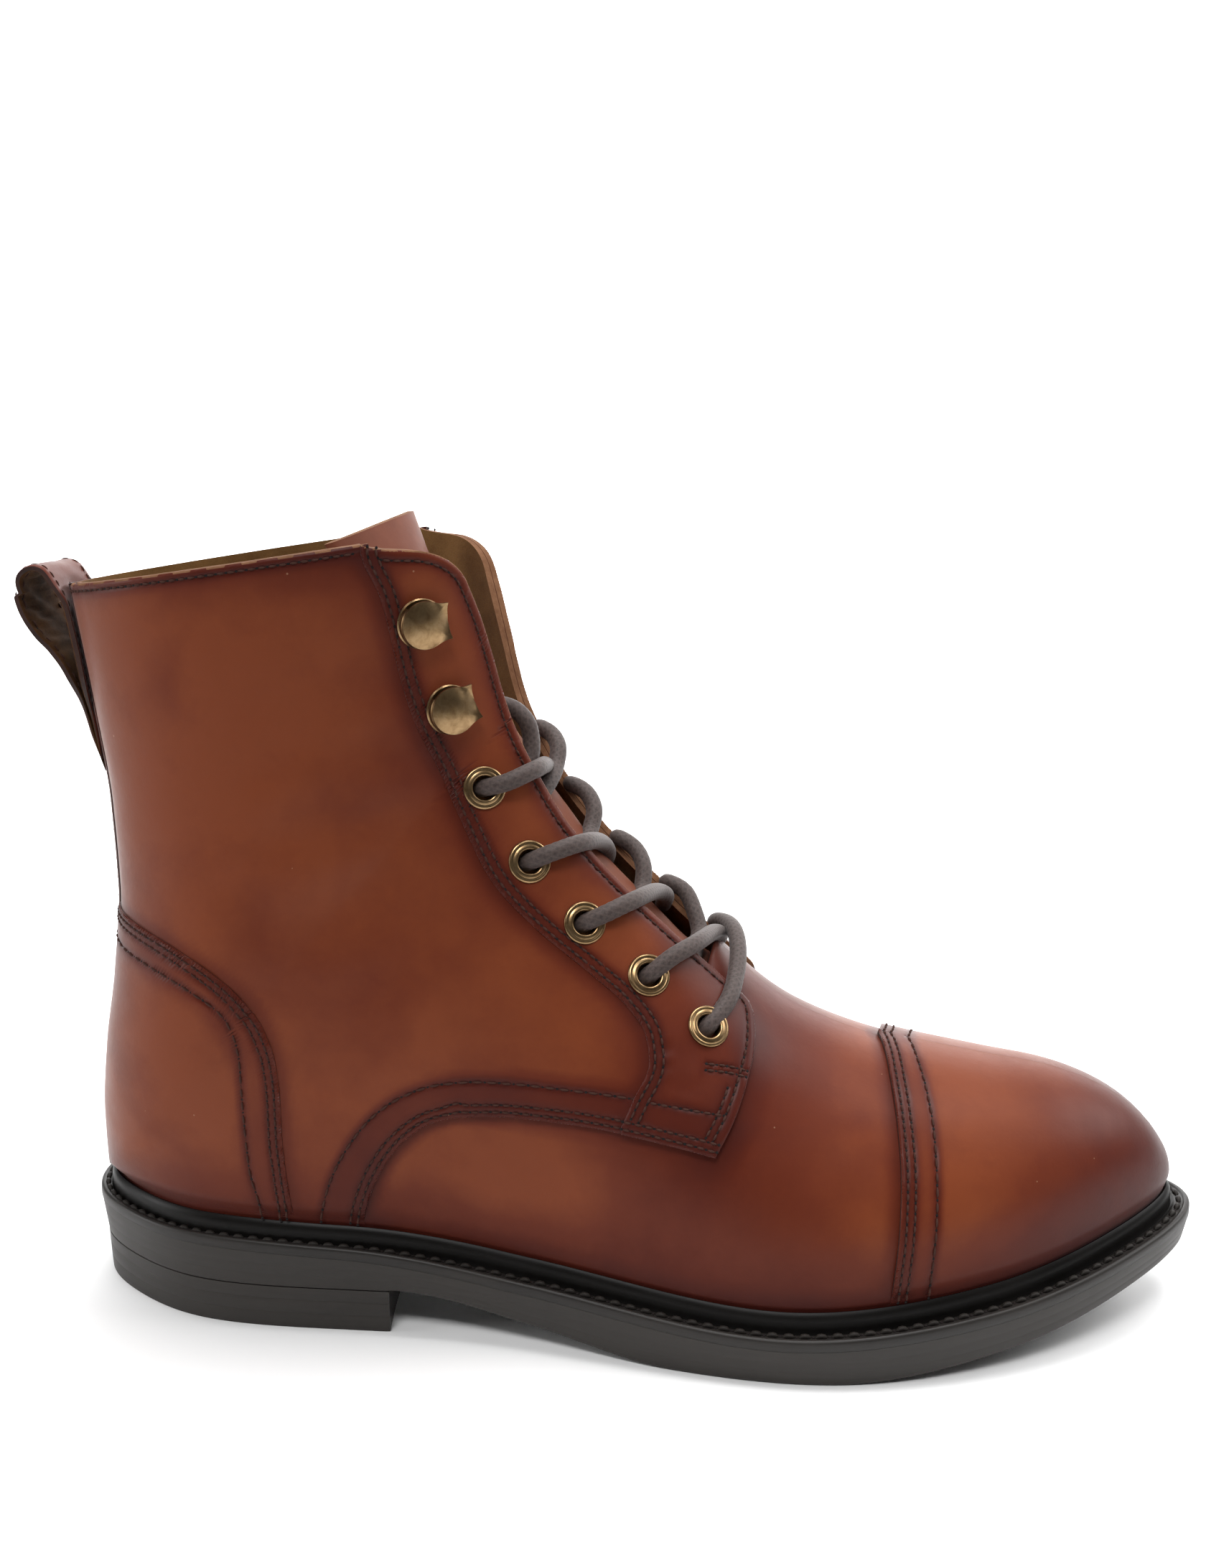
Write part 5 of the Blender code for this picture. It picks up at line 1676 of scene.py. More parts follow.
    def make_facings(self) -> list[Piece]:
        """Make the two facings with their eyelet holes.

        Returns:
            Outer and inner facing.
        """
        bottom = np.concatenate([self.arch[:self.join + 1], self.rear[-1:]])
        tack = LAST.from_side(((184.6, 72.6), (180, 74.0), (174.5, 75.0)))
        self.facing_rows = [LAST.beside(self.rear[:-2], -1, -1.5), LAST.beside(self.rear[:-2], -1, -3.6),
                            LAST.beside(THROAT[3:-2], -1, 2.5), LAST.beside(bottom[:-1], -1, 1.5),
                            LAST.beside(bottom[:-1], -1, 3.4), tack, LAST.beside(tack, -1, 1.6),
                            LAST.beside(THROAT[-11:-2], -1, 4.4),
                            LAST.from_side(((160.8, 68.0), (169.2, 66.7), (179.6, 65.0)))]
        holes = tuple((*LAST.find(x, z), self.hole_radius) for x, z in EYELETS)
        out = []
        for side, word in SIDES:
            outline = [Stretch(Edge.RAW, THROAT[:-20]), Stretch(Edge.CUT, THROAT[-21:]),
                       Stretch(Edge.CUT, bottom), Stretch(Edge.CUT, self.rear[::-1])]
            piece = self.panel("facing_%s_leather" % word, outline, self.top_layer, self.facing_rows, (side,),
                               holes=holes)
            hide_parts("eyestay_" + word)
            out.append(piece)
        return out

    def make_counter(self) -> Piece:
        """Make the heel counter round the back.

        Returns:
            The counter.
        """
        rows = [LAST.beside(self.counter, -1, 1.5), LAST.beside(self.counter, -1, 3.4), self.counter_row]
        for row in rows:
            row[0, 1] = max(0.0, row[0, 1])
        self.counter_rows = rows
        outline = [Stretch(Edge.CUT, self.counter), self.tuck(self.counter[-1], True),
                   self.foot_run(self.counter[-1, 0], HEEL_ROW),
                   self.straight(Edge.FOLD, (HEEL_ROW, TUCK), (HEEL_ROW, 0.0), 4),
                   self.straight(Edge.FOLD, (HEEL_ROW, 0.0), self.counter[0], 60)]
        return self.panel("counter_leather", outline, self.top_layer, rows)

    def make_strip(self) -> Piece:
        """Make the back strip from the counter up to the collar.

        Returns:
            The strip.
        """
        rows = np.linspace(self.strip_foot, LAST_ROW, 70)
        spread = np.concatenate([[-1, -0.96, -0.88], np.linspace(-0.75, 0.75, 13), [0.88, 0.96, 1]])
        top, low = [], []
        for f in spread:
            side = -1 if f < 0 else 1
            v = LAST.behind(rows, abs(f) * self.strip_half, side)
            rounding = 0.5 * max(0.0, (abs(f) - 0.8) / 0.2) ** 2
            height = self.strip_layer[1] - rounding - 0.3 * math.exp(-((abs(f) - 0.78) / 0.05) ** 2)
            top.append(LAST.lift(rows, v, side, np.full(len(rows), height)))
            low.append(LAST.lift(rows, v, side, np.full(len(rows), self.strip_layer[0])))
        points, faces, part = slab(np.stack(top), np.stack(low))
        tone = np.full(len(points), self.strip_tone)
        piece = BUILD.piece("back_strip", points, faces, [self.finish.leather, self.finish.edge],
                            np.where(part == 1, 1, 0), {"burnish_and_shade": tone})
        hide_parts("backstay")
        self.strip_rows = [np.stack([rows, LAST.behind(rows, self.strip_half - 1.7, -1)], axis=1)]
        return piece

    def make_lining(self) -> Piece:
        """Make the lining of shaft and foot, its edge showing at collar and throat.

        Returns:
            The lining.
        """
        rows = np.concatenate([np.linspace(0, 8.6, 60, endpoint=False), np.linspace(8.6, LAST_ROW, 190)])
        edge = THROAT[:np.argmin(THROAT[:, 0]) + 1][::-1]
        end = np.where(rows < 8.8, RIDGE, np.interp(rows, edge[:, 0], edge[:, 1]))
        share = np.concatenate([np.linspace(-0.07, 0, 4, endpoint=False),
                                np.linspace(0, 0.9, 52, endpoint=False), np.linspace(0.9, 1.0, 12)])
        parts, slots = [], []
        for side in (-1, 1):
            v = np.where(share[None] < 0, share[None], share[None] * end[:, None])
            grid_rows = np.broadcast_to(rows[:, None], v.shape)
            p = LAST.point(grid_rows, v, side)
            n = LAST.normal(grid_rows, v, side)
            clear = p[..., 2] - LAST.lip(p[..., 0]) - RIM_HEIGHT + np.where(grid_rows > HEEL_ROW, FAR, 0)
            over = smoothstep(0.0, 2.0, clear)
            wave = 0.25 * np.sin(p[..., 0] * 0.21 + p[..., 2] * 0.13) * np.sin(p[..., 2] * 0.09)
            sink = np.where(grid_rows < 9.4, 0.9, 0.3) - 0.45 * (share > 0.93) * (grid_rows > 9.4)
            outer = p - n * np.maximum(sink, 0.4 - 0.5 * over)[..., None]
            inner = p - n * (self.wall + wave * over)[..., None]
            q, f, part = slab(*((outer, inner) if side > 0 else (outer[::-1], inner[::-1])))
            parts.append((q, f))
            slots += np.where(part == 1, 1, 0).tolist()
        piece = BUILD.piece("shaft_lining", *joined(parts), [self.finish.lining, self.finish.raw],
                            np.array(slots), weld=0.02)
        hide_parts("upper")
        return piece

    def make_seams(self) -> list[Piece]:
        """Sew every row of the upper.

        Returns:
            One piece for each group of rows.
        """
        thread, hole = self.finish.thread, self.finish.hole
        quarter, top = self.quarter_layer[1] - self.thread_sink, self.top_layer[1] - self.thread_sink
        out = []
        for name, rows, height, long_last in (("cap", self.cap_rows, quarter, True),
                                              ("arch", self.arch_rows, quarter, True),
                                              ("counter", self.counter_rows, top, True),
                                              ("collar", [self.collar_row], quarter, False),
                                              ("facing", self.facing_rows, top, False),
                                              ("strip", self.strip_rows, 2.3, False)):
            sew = Stitching()
            for k, row in enumerate(rows):
                long = long_last and k == len(rows) - 1
                line = row
                if name == "collar":
                    line = row[row[:, 1] < self.rear[0, 1] - 0.01]
                if name == "arch" and k < 2:
                    line = row[self.join:]
                sew.add(line, height, self.long_pitch if long else sew.pitch)
            out.append(sew.build("stitches_" + name, thread, hole))
        return out

    def build(self) -> list[Piece]:
        """Make all pieces of the upper.

        Returns:
            The pieces.
        """
        cap = self.make_cap()
        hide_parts("toe_cap")
        counter = self.make_counter()
        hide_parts("heel_counter")
        pieces = [cap, counter, self.make_vamp(), *self.make_quarters(), *self.make_facings(),
                  self.make_strip()]
        lining = self.make_lining()
        return pieces + [lining, *self.make_seams()]


@dataclass
class Sole:
    """Rubber outsole, heel block, stitched welt and insole."""

    finish: Finishes
    welt_depth: float = 3.0
    bead: float = 2.4
    rand_and_shade_from: int = 11
    heel_height: float = 11.9
    breast: float = 92.0
    hollow: float = 2.5
    stations: int = 450

    def ring(self, profile: Callable[[np.ndarray], list], pick: np.ndarray) -> np.ndarray:
        """Sweep a profile round the sole.

        Args:
            profile: gives (inset, height) arrays for the stations' x.
            pick: indices of outline stations.

        Returns:
            Points (stations, profile, 3).
        """
        at, inward = LAST.outline[pick], LAST.inward[pick]
        out = []
        for inset, height in profile(at[:, 0]):
            p = at + inward * np.broadcast_to(inset, at.shape[:1])[:, None]
            out.append(np.column_stack([p, np.broadcast_to(height, at.shape[:1])]))
        return np.stack(out, axis=1)

    @staticmethod
    def tube_faces(n: int, m: int, closed_profile: bool) -> list:
        """List quads of a closed sweep.

        Args:
            n: stations round the sweep.
            m: points of the profile.
            closed_profile: whether its last point joins its first.

        Returns:
            Vertex index lists.
        """
        faces = []
        for i in range(n):
            k = (i + 1) % n
            for j in range(m if closed_profile else m - 1):
                q = (j + 1) % m
                faces.append([i * m + j, k * m + j, k * m + q, i * m + q])
        return faces

    def picks(self) -> np.ndarray:
        """Choose evenly spaced stations of the outline."""
        run = lengths(LAST.outline)
        return np.unique(np.searchsorted(run, np.linspace(0, run[-1], self.stations)))

    def make_welt(self) -> Piece:
        """Make the welt: lip, stitched shelf, channel and the rim against the leather.

        Returns:
            The welt.
        """
        pick = self.picks()

        def profile(x: np.ndarray) -> list:
            """Give the welt's cross-section at each station.

            Args:
                x: x of the stations.

            Returns:
                (inset, height) pairs.
            """
            lip, foot = LAST.lip(x), LAST.inset(x)
            edge, rim = foot - self.bead, RIM_HEIGHT
            return [(0.08, lip - self.welt_depth), (0.0, lip - 2.92), (0.0, lip - 1.0), (0.12, lip - 0.45),
                    (0.42, lip - 0.1), (0.85, lip + 0.02), (1.35, lip - 0.03), (1.6, lip - 0.25),
                    (1.75, lip - 0.5), (2.1, lip - 0.6), (0.5 * (edge + 1.2), lip - 0.5),
                    (edge - 1.1, lip - 0.62), (edge - 0.75, lip - 1.0), (edge - 0.25, lip - 1.0),
                    (edge, lip - 0.2), (edge + 0.02, lip + 1.9), (edge + 0.2, lip + 3.0),
                    (edge + 0.6, lip + 3.9), (edge + 1.15, lip + rim - 0.1), (edge + 1.6, lip + rim - 0.25),
                    (edge + 1.95, lip + rim - 0.9), (foot - 0.25, lip + 2.2),
                    (foot - 0.25, lip - self.welt_depth)]

        grid = self.ring(profile, pick)
        n, m = grid.shape[:2]
        # the channel, bead and inner wall take the near-black rubber: the bead's own colour plus painted shade
        # in the recesses
        rand = np.tile(np.where(np.arange(m) >= self.rand_and_shade_from, 1, 0), n)
        piece = BUILD.piece("storm_welt", grid.reshape(-1, 3), self.tube_faces(n, m, True),
                            [self.finish.welt, self.finish.rand], rand, sharp=50)
        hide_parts("welt")
        return piece

    def make_welt_stitches(self) -> Piece:
        """Sew the lockstitch that shows on the welt's shelf.

        Returns:
            The stitches.
        """
        pick = self.picks()
        at, inward = LAST.outline[pick], LAST.inward[pick]
        middle = 0.5 * (1.75 + LAST.inset(at[:, 0]) - self.bead - 0.9)
        p = np.column_stack([at + inward * middle[:, None], LAST.lip(at[:, 0]) - 0.32])
        p = np.concatenate([p, p[:1]])
        sew = Stitching(pitch=4.1, length=3.7, radius=0.72, hole=0.55)
        sew.rows.append((p, np.tile([0.0, 0.0, 1.0], (len(p), 1)), sew.pitch))
        return sew.build("stitches_welt", self.finish.welt_thread, self.finish.hole)

    def block(self, name: str, rings: np.ndarray, finish: Material,
              floor: Callable[[np.ndarray], np.ndarray]) -> Piece:
        """Make a closed block from rings, top first, capped above and below.

        Args:
            name: piece name.
            rings: points (stations, rings, 3).
            finish: its material.
            floor: gives the height of the underside along x.

        Returns:
            The block.
        """
        n, m = rings.shape[:2]
        points = rings.reshape(-1, 3)
        faces = self.tube_faces(n, m, False)
        for j, up in ((0, True), (m - 1, False)):
            rim = rings[:, j]
            lo, hi = rim[:, :2].min(axis=0), rim[:, :2].max(axis=0)
            grid = np.stack(np.meshgrid(np.arange(lo[0], hi[0], 5.0), np.arange(lo[1], hi[1], 5.0)), axis=-1)
            inner = grid.reshape(-1, 2)
            inner = inner[within(rim[:, :2], inner)]
            gap = nearest(np.column_stack([inner, np.zeros(len(inner))]),
                          np.column_stack([rim[:, :2], np.zeros(n)]))
            inner = inner[gap > 2.0]
            flat = np.concatenate([rim[:, :2], inner])
            links = [(k, (k + 1) % n) for k in range(n)]
            verts, _, tris, origin, _, _ = delaunay_2d_cdt([Vector(q) for q in flat], links, [], 1, 1e-6)
            xy = np.array([(q[0], q[1]) for q in verts])
            z = np.interp(xy[:, 0], *self.level(rim)) if up else floor(xy[:, 0])
            new = np.column_stack([xy, z])
            for k, src in enumerate(origin):
                if src and src[0] < n:
                    new[k] = rim[src[0]]
            base = len(points)
            points = np.concatenate([points, new])
            for t in tris:
                a, b, c = new[t[0]], new[t[1]], new[t[2]]
                ccw = (b[0] - a[0]) * (c[1] - a[1]) - (b[1] - a[1]) * (c[0] - a[0]) > 0
                faces.append([base + k for k in (t if ccw == up else t[::-1])])
        return BUILD.piece(name, points, faces, [finish], weld=0.02, sharp=35)

    @staticmethod
    def level(rim: np.ndarray) -> tuple[np.ndarray, np.ndarray]:
        """Give the rim's height along x for the cap over it."""
        order = np.argsort(rim[:, 0])
        return rim[order, 0], rim[order, 2]

    def make_outsole(self) -> Piece:
        """Make the outsole with the trim lines of its side.

        Returns:
            The outsole.
        """
        pick = self.picks()

        def profile(x: np.ndarray) -> list:
            """Give the side of the sole from under the welt to the tread.

            Args:
                x: x of the stations.

            Returns:
                (inset, height) pairs.
            """
            top, low = LAST.lip(x) - self.welt_depth - 0.2, LAST.under(x)
            out = [(1.4, top + 0.18), (0.2, top + 0.18), (0.14, top + 0.1)]
            for share, cut in ((0.12, 0), (0.3, 0), (0.33, 1), (0.36, 0), (0.62, 0), (0.64, 1), (0.66, 0),
                               (0.9, 0)):
                out.append((0.12 + 1.3 * share + 0.035 * cut, top + (low - top) * share))
            free = np.where(x < self.breast, 0.0, 1.0)
            return out + [(1.42 + 0.08 * free, low + 0.06 + 0.29 * free),
                          (1.45 + 0.3 * free, low + 0.02 + 0.06 * free), (2.2, low)]

        piece = self.block("rubber_outsole", self.ring(profile, pick), self.finish.sole, LAST.under)
        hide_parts("outsole")
        return piece

    def make_heel(self) -> Piece:
        """Make the heel block with its hollow breast.

        Returns:
            The heel.
        """
        pick = self.picks()
        at, inward = LAST.outline[pick], LAST.inward[pick]
        body = at[:, 0] < self.breast - 1
        start = int(np.argmax(body & ~np.roll(body, 1)))
        order = np.roll(np.arange(len(pick)), -start)[:int(body.sum())]
        at, inward = at[order], inward[order]
        rings = []
        height = self.heel_height
        for inset, z in ((2.4, height), (1.5, height), (1.42, height - 0.12), (1.5, height - 3.4),
                         (1.56, height - 3.5), (1.51, height - 3.6), (1.7, 4.6), (1.75, 4.5), (1.71, 4.4),
                         (1.9, 0.4), (2.0, 0.1), (2.4, 0.0)):
            p = at + inward * inset
            ends = p[[-1, 0]]
            share = np.concatenate([[0.002], np.linspace(0, 1, 26)[1:-1], [0.998]])[:, None]
            front = ends[0] + (ends[1] - ends[0]) * share
            arc = self.hollow * (1 - (front[:, 1] / 40.0) ** 2)
            front[:, 0] = self.breast - arc - max(0.0, inset - 1.9) * 0.5
            ring = np.concatenate([p, front])
            rings.append(np.column_stack([ring, np.full(len(ring), z)]))
        piece = self.block("rubber_heel", np.stack(rings, axis=1), self.finish.sole,
                           lambda x: np.zeros_like(np.asarray(x, float)))
        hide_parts("heel")
        return piece

    def make_insole(self) -> Piece:
        """Make the insole, slightly dished across its width.

        Returns:
            The insole.
        """
        xs = np.concatenate([np.linspace(8.6, 20, 10), np.linspace(24, 280, 60), np.linspace(284, 297.8, 10)])
        top, low = [], []
        for share in np.linspace(0.0, 1.0, 25):
            edge = [np.interp(xs, LAST.branch[s][:, 0], LAST.branch[s][:, 1]) - s * 1.75 for s in (-1, 1)]
            y = edge[0] + (edge[1] - edge[0]) * share
            dish = 0.7 * (1 - (2 * share - 1) ** 2)
            floor = LAST.lip(xs)
            top.append(np.column_stack([xs, y, floor + 0.35 - dish]))
            low.append(np.column_stack([xs, y, floor - self.welt_depth]))
        points, faces, _ = slab(np.stack(top), np.stack(low))
        piece = BUILD.piece("insole_board", points, faces, [self.finish.insole])
        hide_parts("insole")
        return piece

    def build(self) -> list[Piece]:
        """Make all pieces of the sole.

        Returns:
            The pieces.
        """
        outsole, heel, welt = self.make_outsole(), self.make_heel(), self.make_welt()
        insole = self.make_insole()
        return [outsole, heel, welt, insole, self.make_welt_stitches()]


@dataclass
class Tongue:
    """Soft tongue, from under the vamp to its free top that leans back."""

    finish: Finishes
    layer: tuple = (-2.5, -4.5)
    twist: float = 3.0
    flatten: float = 0.25
    dip: float = 4.5
    rows: tuple = (
        # section_row, half_width, lean_back, lift
        (8.3, 20.0, 0.0, 0.0), (9.0, 24.0, 0.0, 0.0), (10.0, 26.0, 0.0, 0.0), (11.0, 26.0, 0.0, 0.0),
        (12.0, 26.0, 0.0, 0.0), (13.0, 26.0, 1.2, 0.0), (14.0, 26.0, 5.0, 0.0), (15.0, 26.0, 7.5, 0.0),
        (17.0, 26.0, 9.5, 0.0), (19.0, 26.0, 12.0, 0.0), (21.0, 26.0, 17.0, 0.0), (22.0, 26.0, 21.0, 1.0))

    def build(self) -> list[Piece]:
        """Make the tongue as a closed sheet.

        Returns:
            The tongue, alone in a list.
        """
        table = np.array(self.rows)
        rows = np.linspace(table[0, 0], table[-1, 0], 150)
        half, lean, lift = (monotone(tuple(zip(table[:, 0], table[:, k])))(rows) for k in (1, 2, 3))
        spread = np.sin(np.linspace(-np.pi / 2, np.pi / 2, 41))
        sheets = []
        for layer in self.layer:
            columns = []
            for f in spread:
                side = -1 if f < 0 else 1
                v = np.minimum(LAST.across(rows, abs(f) * half, side), RIDGE)
                round_off = 0.8 * max(0.0, (abs(f) - 0.9) / 0.1) ** 2 * (-1 if layer == self.layer[0] else 1)
                fold = 0.5 * np.sin(rows * 2.1 + 2.0 * f) * smoothstep(9, 12, rows) * (1 - f * f)
                sag = self.dip * (1 - f * f) * smoothstep(8.7, 9.6, rows) * (1 - smoothstep(12.6, 14.5, rows))
                height = np.full(len(rows), layer + round_off) + np.minimum(fold, 0.15) - sag
                p = LAST.lift(rows, v, side, height)
                p[:, 0] -= lean * (1 - 0.28 * f + self.flatten * (1 - f * f))
                p[:, 2] += lift + (self.twist * f - 1.5 + 0.8 * (1 - f * f)) * smoothstep(21, 22, rows)
                columns.append(p)
            sheets.append(np.stack(columns))
        points, faces, part = slab(*sheets)
        piece = BUILD.piece("soft_tongue", points, faces, [self.finish.tongue, self.finish.raw],
                            np.where(part == 1, 1, 0))
        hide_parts("tongue")
        return [piece]


@dataclass
class PullLoop:
    """Leather strap looped behind the collar, suede inside."""

    finish: Finishes
    half_width: float = 12.0
    thickness: float = 1.8
    hug: float = 1.25
    hug_half: float = 8.7
    row_inset: float = 2.0
    tone: float = 0.42
    path: tuple = ((9.0, 145), (7.0, 151), (5.0, 158.5), (3.4, 167), (1.4, 174), (-1.4, 178.4), (-5.2, 182.5),
                   (-8.9, 189), (-9.8, 194.4), (-8.3, 198.4), (-5.6, 200.0), (-2.9, 199.7), (-0.9, 197.6),
                   (0.5, 193.3), (1.8, 187.4), (3.3, 179.1), (4.5, 171), (5.6, 163.5), (6.8, 156), (8.0, 148))

    def build(self) -> list[Piece]:
        """Make the strap and its two sewn rows.

        Returns:
            The strap and its stitches.
        """
        line = curve_through(np.array(self.path, float), 0.9)
        flow = unit(np.gradient(line, axis=0))
        out = np.stack([-flow[:, 1], flow[:, 0]], axis=1)
        share = np.linspace(0, 1, len(line))
        sewn = 1 - smoothstep(158, 172, line[:, 1])
        half = self.half_width - 4.8 * sewn
        thick = self.thickness - 0.8 * sewn - 0.7 * (1 - smoothstep(146, 156, line[:, 1]))
        clear = np.where(share < 0.45, smoothstep(160, 178, line[:, 1]), smoothstep(190, 198, line[:, 1]))
        wrap = self.hug - self.hug * clear
        wrinkle = smoothstep(0.2, 0.34, share) * (1 - smoothstep(0.6, 0.75, share))
        waves = tuple(zip((1.1, 1.7, 0.8, 2.3), (5, -3, 7, 2), np.random.default_rng(SEED).uniform(0, 6.28, 4)))
        spread = np.concatenate([[-1, -0.985, -0.95], np.linspace(-0.88, 0.88, 21), [0.95, 0.985, 1]])
        top, low = [], []
        for f in spread:
            edge = 0.32 * max(0.0, (abs(f) - 0.92) / 0.08) ** 2
            fold = sum(np.sin(line[:, 1] * k + f * g + p) for k, g, p in waves)
            bulge = 0.22 * fold * wrinkle * (1 - abs(f) ** 4)
            y = f * half
            for grid, sign in ((top, 1), (low, -1)):
                reach = sign * (0.5 * thick - edge) + (bulge if sign < 0 else 0.25 * bulge)
                p = line + out * reach[:, None]
                grid.append(np.column_stack([p[:, 0] + wrap * (y / self.hug_half) ** 2, y, p[:, 1]]))
        points, faces, part = slab(np.stack(top), np.stack(low))
        piece = BUILD.piece("pull_strap", points, faces,
                            [self.finish.leather, self.finish.edge, self.finish.loop_lining], part,
                            {"burnish_and_shade": np.full(len(points), self.tone)})
        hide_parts("pull_loop")
        sew = Stitching(pitch=2.8, length=2.3, radius=0.26, hole=0.36)
        for f in (-1, 1):
            for sign in (-1, 1):
                q = line + out * (sign * (0.5 * thick - 0.08))[:, None]
                y = f * (half - self.row_inset)
                row = np.column_stack([q[:, 0] + wrap * (y / self.hug_half) ** 2, y, q[:, 1]])
                up = np.column_stack([out[:, 0], np.zeros(len(out)), out[:, 1]]) * sign
                sew.rows.append((row[4:-3], up[4:-3], sew.pitch))
        return [piece, sew.build("stitches_loop", self.finish.thread, self.finish.hole)]


@dataclass
class Fittings:
    """Antique brass eyelets and speed hooks."""

    finish: Finishes
    seat: float = 2.38
    hole: float = 3.0
    ring: float = 5.6
    plate: float = 6.05
    corner: float = 8.1
    corner_angle: float = 34.0
    hook_shift: tuple = (-1.0, 0.6, 0.0)
    facets: int = 40

    @staticmethod
    def frame(x: float, z: float, side: int, turn: float = 0.0) -> tuple[np.ndarray, np.ndarray]:
        """Find where a fitting sits.

        Args:
            x: place from the side.
            z: place from the side.
            side: side of the boot.
            turn: degrees its axis is turned up from level.

        Returns:
            Its place on the face and its axes: along, up and out.
        """
        row, v = LAST.find(x, z)
        rows, vs = np.array([row]), np.array([v])
        n = LAST.normal(rows, vs, side)[0]
        a = np.array([math.cos(math.radians(turn)), 0.0, math.sin(math.radians(turn))])
        a = unit(a - n * (a @ n))
        return LAST.point(rows, vs, side)[0], np.stack([a, unit(np.cross(n, a)) * -side, n])

    def eyelet(self, name: str, place: np.ndarray, axes: np.ndarray) -> Piece:
        """Make one rolled eyelet.

        Args:
            name: piece name.
            place: point on the face.
            axes: directions along, up and out.

        Returns:
            The eyelet.
        """
        s, h, r = self.seat, self.hole, self.ring
        profile = ((h, -2.2), (h + 0.45, -2.3), (h + 0.5, s - 0.25), (r - 0.2, s - 0.15), (r, s + 0.12),
                   (r - 0.12, s + 0.42), (r - 0.5, s + 0.62), (r - 0.85, s + 0.6), (r - 1.05, s + 0.5),
                   (r - 1.25, s + 0.6), (h + 0.75, s + 0.82), (h + 0.42, s + 0.78), (h + 0.12, s + 0.5), (h, s))
        turn = np.linspace(0, 2 * np.pi, self.facets, endpoint=False)
        points = np.array([place + np.array([math.cos(t) * q, math.sin(t) * q, z]) @ axes
                           for t in turn for q, z in profile])
        faces = Sole.tube_faces(len(turn), len(profile), True)
        return BUILD.piece(name, points, faces, [self.finish.brass], sharp=60)

    def outline(self) -> np.ndarray:
        """Draw the hook's plate: round behind, two drawn-out corners toward the throat.

        Returns:
            Points round the plate.
        """
        c = self.corner_angle
        bend = monotone(((0, 6.25), (20, 6.75), (c - 2, 7.75), (c, self.corner), (c + 4, 7.45), (c + 12, 6.65),
                         (c + 24, 6.15), (c + 40, self.plate), (180, self.plate)))
        turn = np.sort(np.concatenate([np.linspace(-180, 180, 72, endpoint=False), [-c, c]]))
        r = bend(np.abs(turn))
        return np.stack([r * np.cos(np.radians(turn)), r * np.sin(np.radians(turn))], axis=1)

    def hook(self, name: str, place: np.ndarray, axes: np.ndarray) -> Piece:
        """Make one speed hook: a plate on the leather, folded round the back into a domed cover.

        Args:
            name: piece name.
            place: point on the face.
            axes: directions along, up and out.

        Returns:
            The hook.
        """
        rim = self.outline()
        n = len(rim)
        s = self.seat
        points = []

        def cover(u: np.ndarray) -> float:
            """Give the dome's height, dished toward the throat edge.

            Args:
                u: place on the plate.

            Returns:
                Height over the seat.
            """
            far = (u[0] ** 2 + u[1] ** 2) / self.plate ** 2
            dish = 0.9 * smoothstep(1.5, 7.0, u[0]) * math.exp(-(u[1] / 3.2) ** 2)
            flare = 0.9 * smoothstep(6.2, 8.2, math.hypot(u[0], u[1]))
            return 3.3 + 1.3 * (1 - min(1.0, far)) - dish + flare * 0.2

        for depth in (0.0, 0.75):
            for share in (1.0, 0.985, 0.93, 0.8, 0.6, 0.4, 0.2):
                edge = 0.22 * (share > 0.99)
                for q in rim * share:
                    z = s + float(cover(q)) - depth
                    points.append((q[0], q[1], z - edge if depth == 0 else z + edge))
        faces = [quad if k < 6 * n else quad[::-1] for k, quad in enumerate(ring_quads(14, n)) if k // n != 6]
        faces += [[6 * n + j for j in range(n)], [13 * n + j for j in range(n)][::-1]]
        faces += [[7 * n + j, 7 * n + (j + 1) % n, (j + 1) % n, j] for j in range(n)]
        verts, faces = joined([(np.array(points), faces), self.plate_base(s), self.fold(s)])
        world = place + (verts + np.array(self.hook_shift)) @ axes
        return BUILD.piece(name, world, faces, [self.finish.brass], sharp=45)

    def plate_base(self, seat: float) -> tuple[np.ndarray, list]:
        """Make the plate riveted to the leather.

        Args:
            seat: height of the leather.

        Returns:
            Points and faces.
        """
        turn = np.linspace(0, 2 * np.pi, self.facets, endpoint=False)
        rings = ((6.3, seat - 0.1), (6.4, seat + 0.35), (6.1, seat + 0.75), (3.0, seat + 0.9),
                 (0.6, seat + 0.9))
        points = np.array([(r * math.cos(t), r * math.sin(t), z) for r, z in rings for t in turn])
        n = len(turn)
        caps = [[(len(rings) - 1) * n + j for j in range(n)], list(range(n))[::-1]]
        return points, ring_quads(len(rings), n) + caps

    def fold(self, seat: float) -> tuple[np.ndarray, list]:
        """Make the fold that joins the plate to the cover round the hook's back.

        Args:
            seat: height of the leather.

        Returns:
            Points and faces.
        """
        turn = np.radians(np.linspace(128, 232, 22))
        layers = []
        for inset in (0.35, 1.15):
            arcs = []
            bow = [(self.plate - inset + 0.55 * (1 - a * a), seat + 1.95 + a * 1.5)
                   for a in np.linspace(-1, 1, 9)]
            for t in turn:
                arcs.append([(r * math.cos(t), r * math.sin(t), z) for r, z in bow])
            layers.append(np.array(arcs))
        return slab(*layers)[:2]

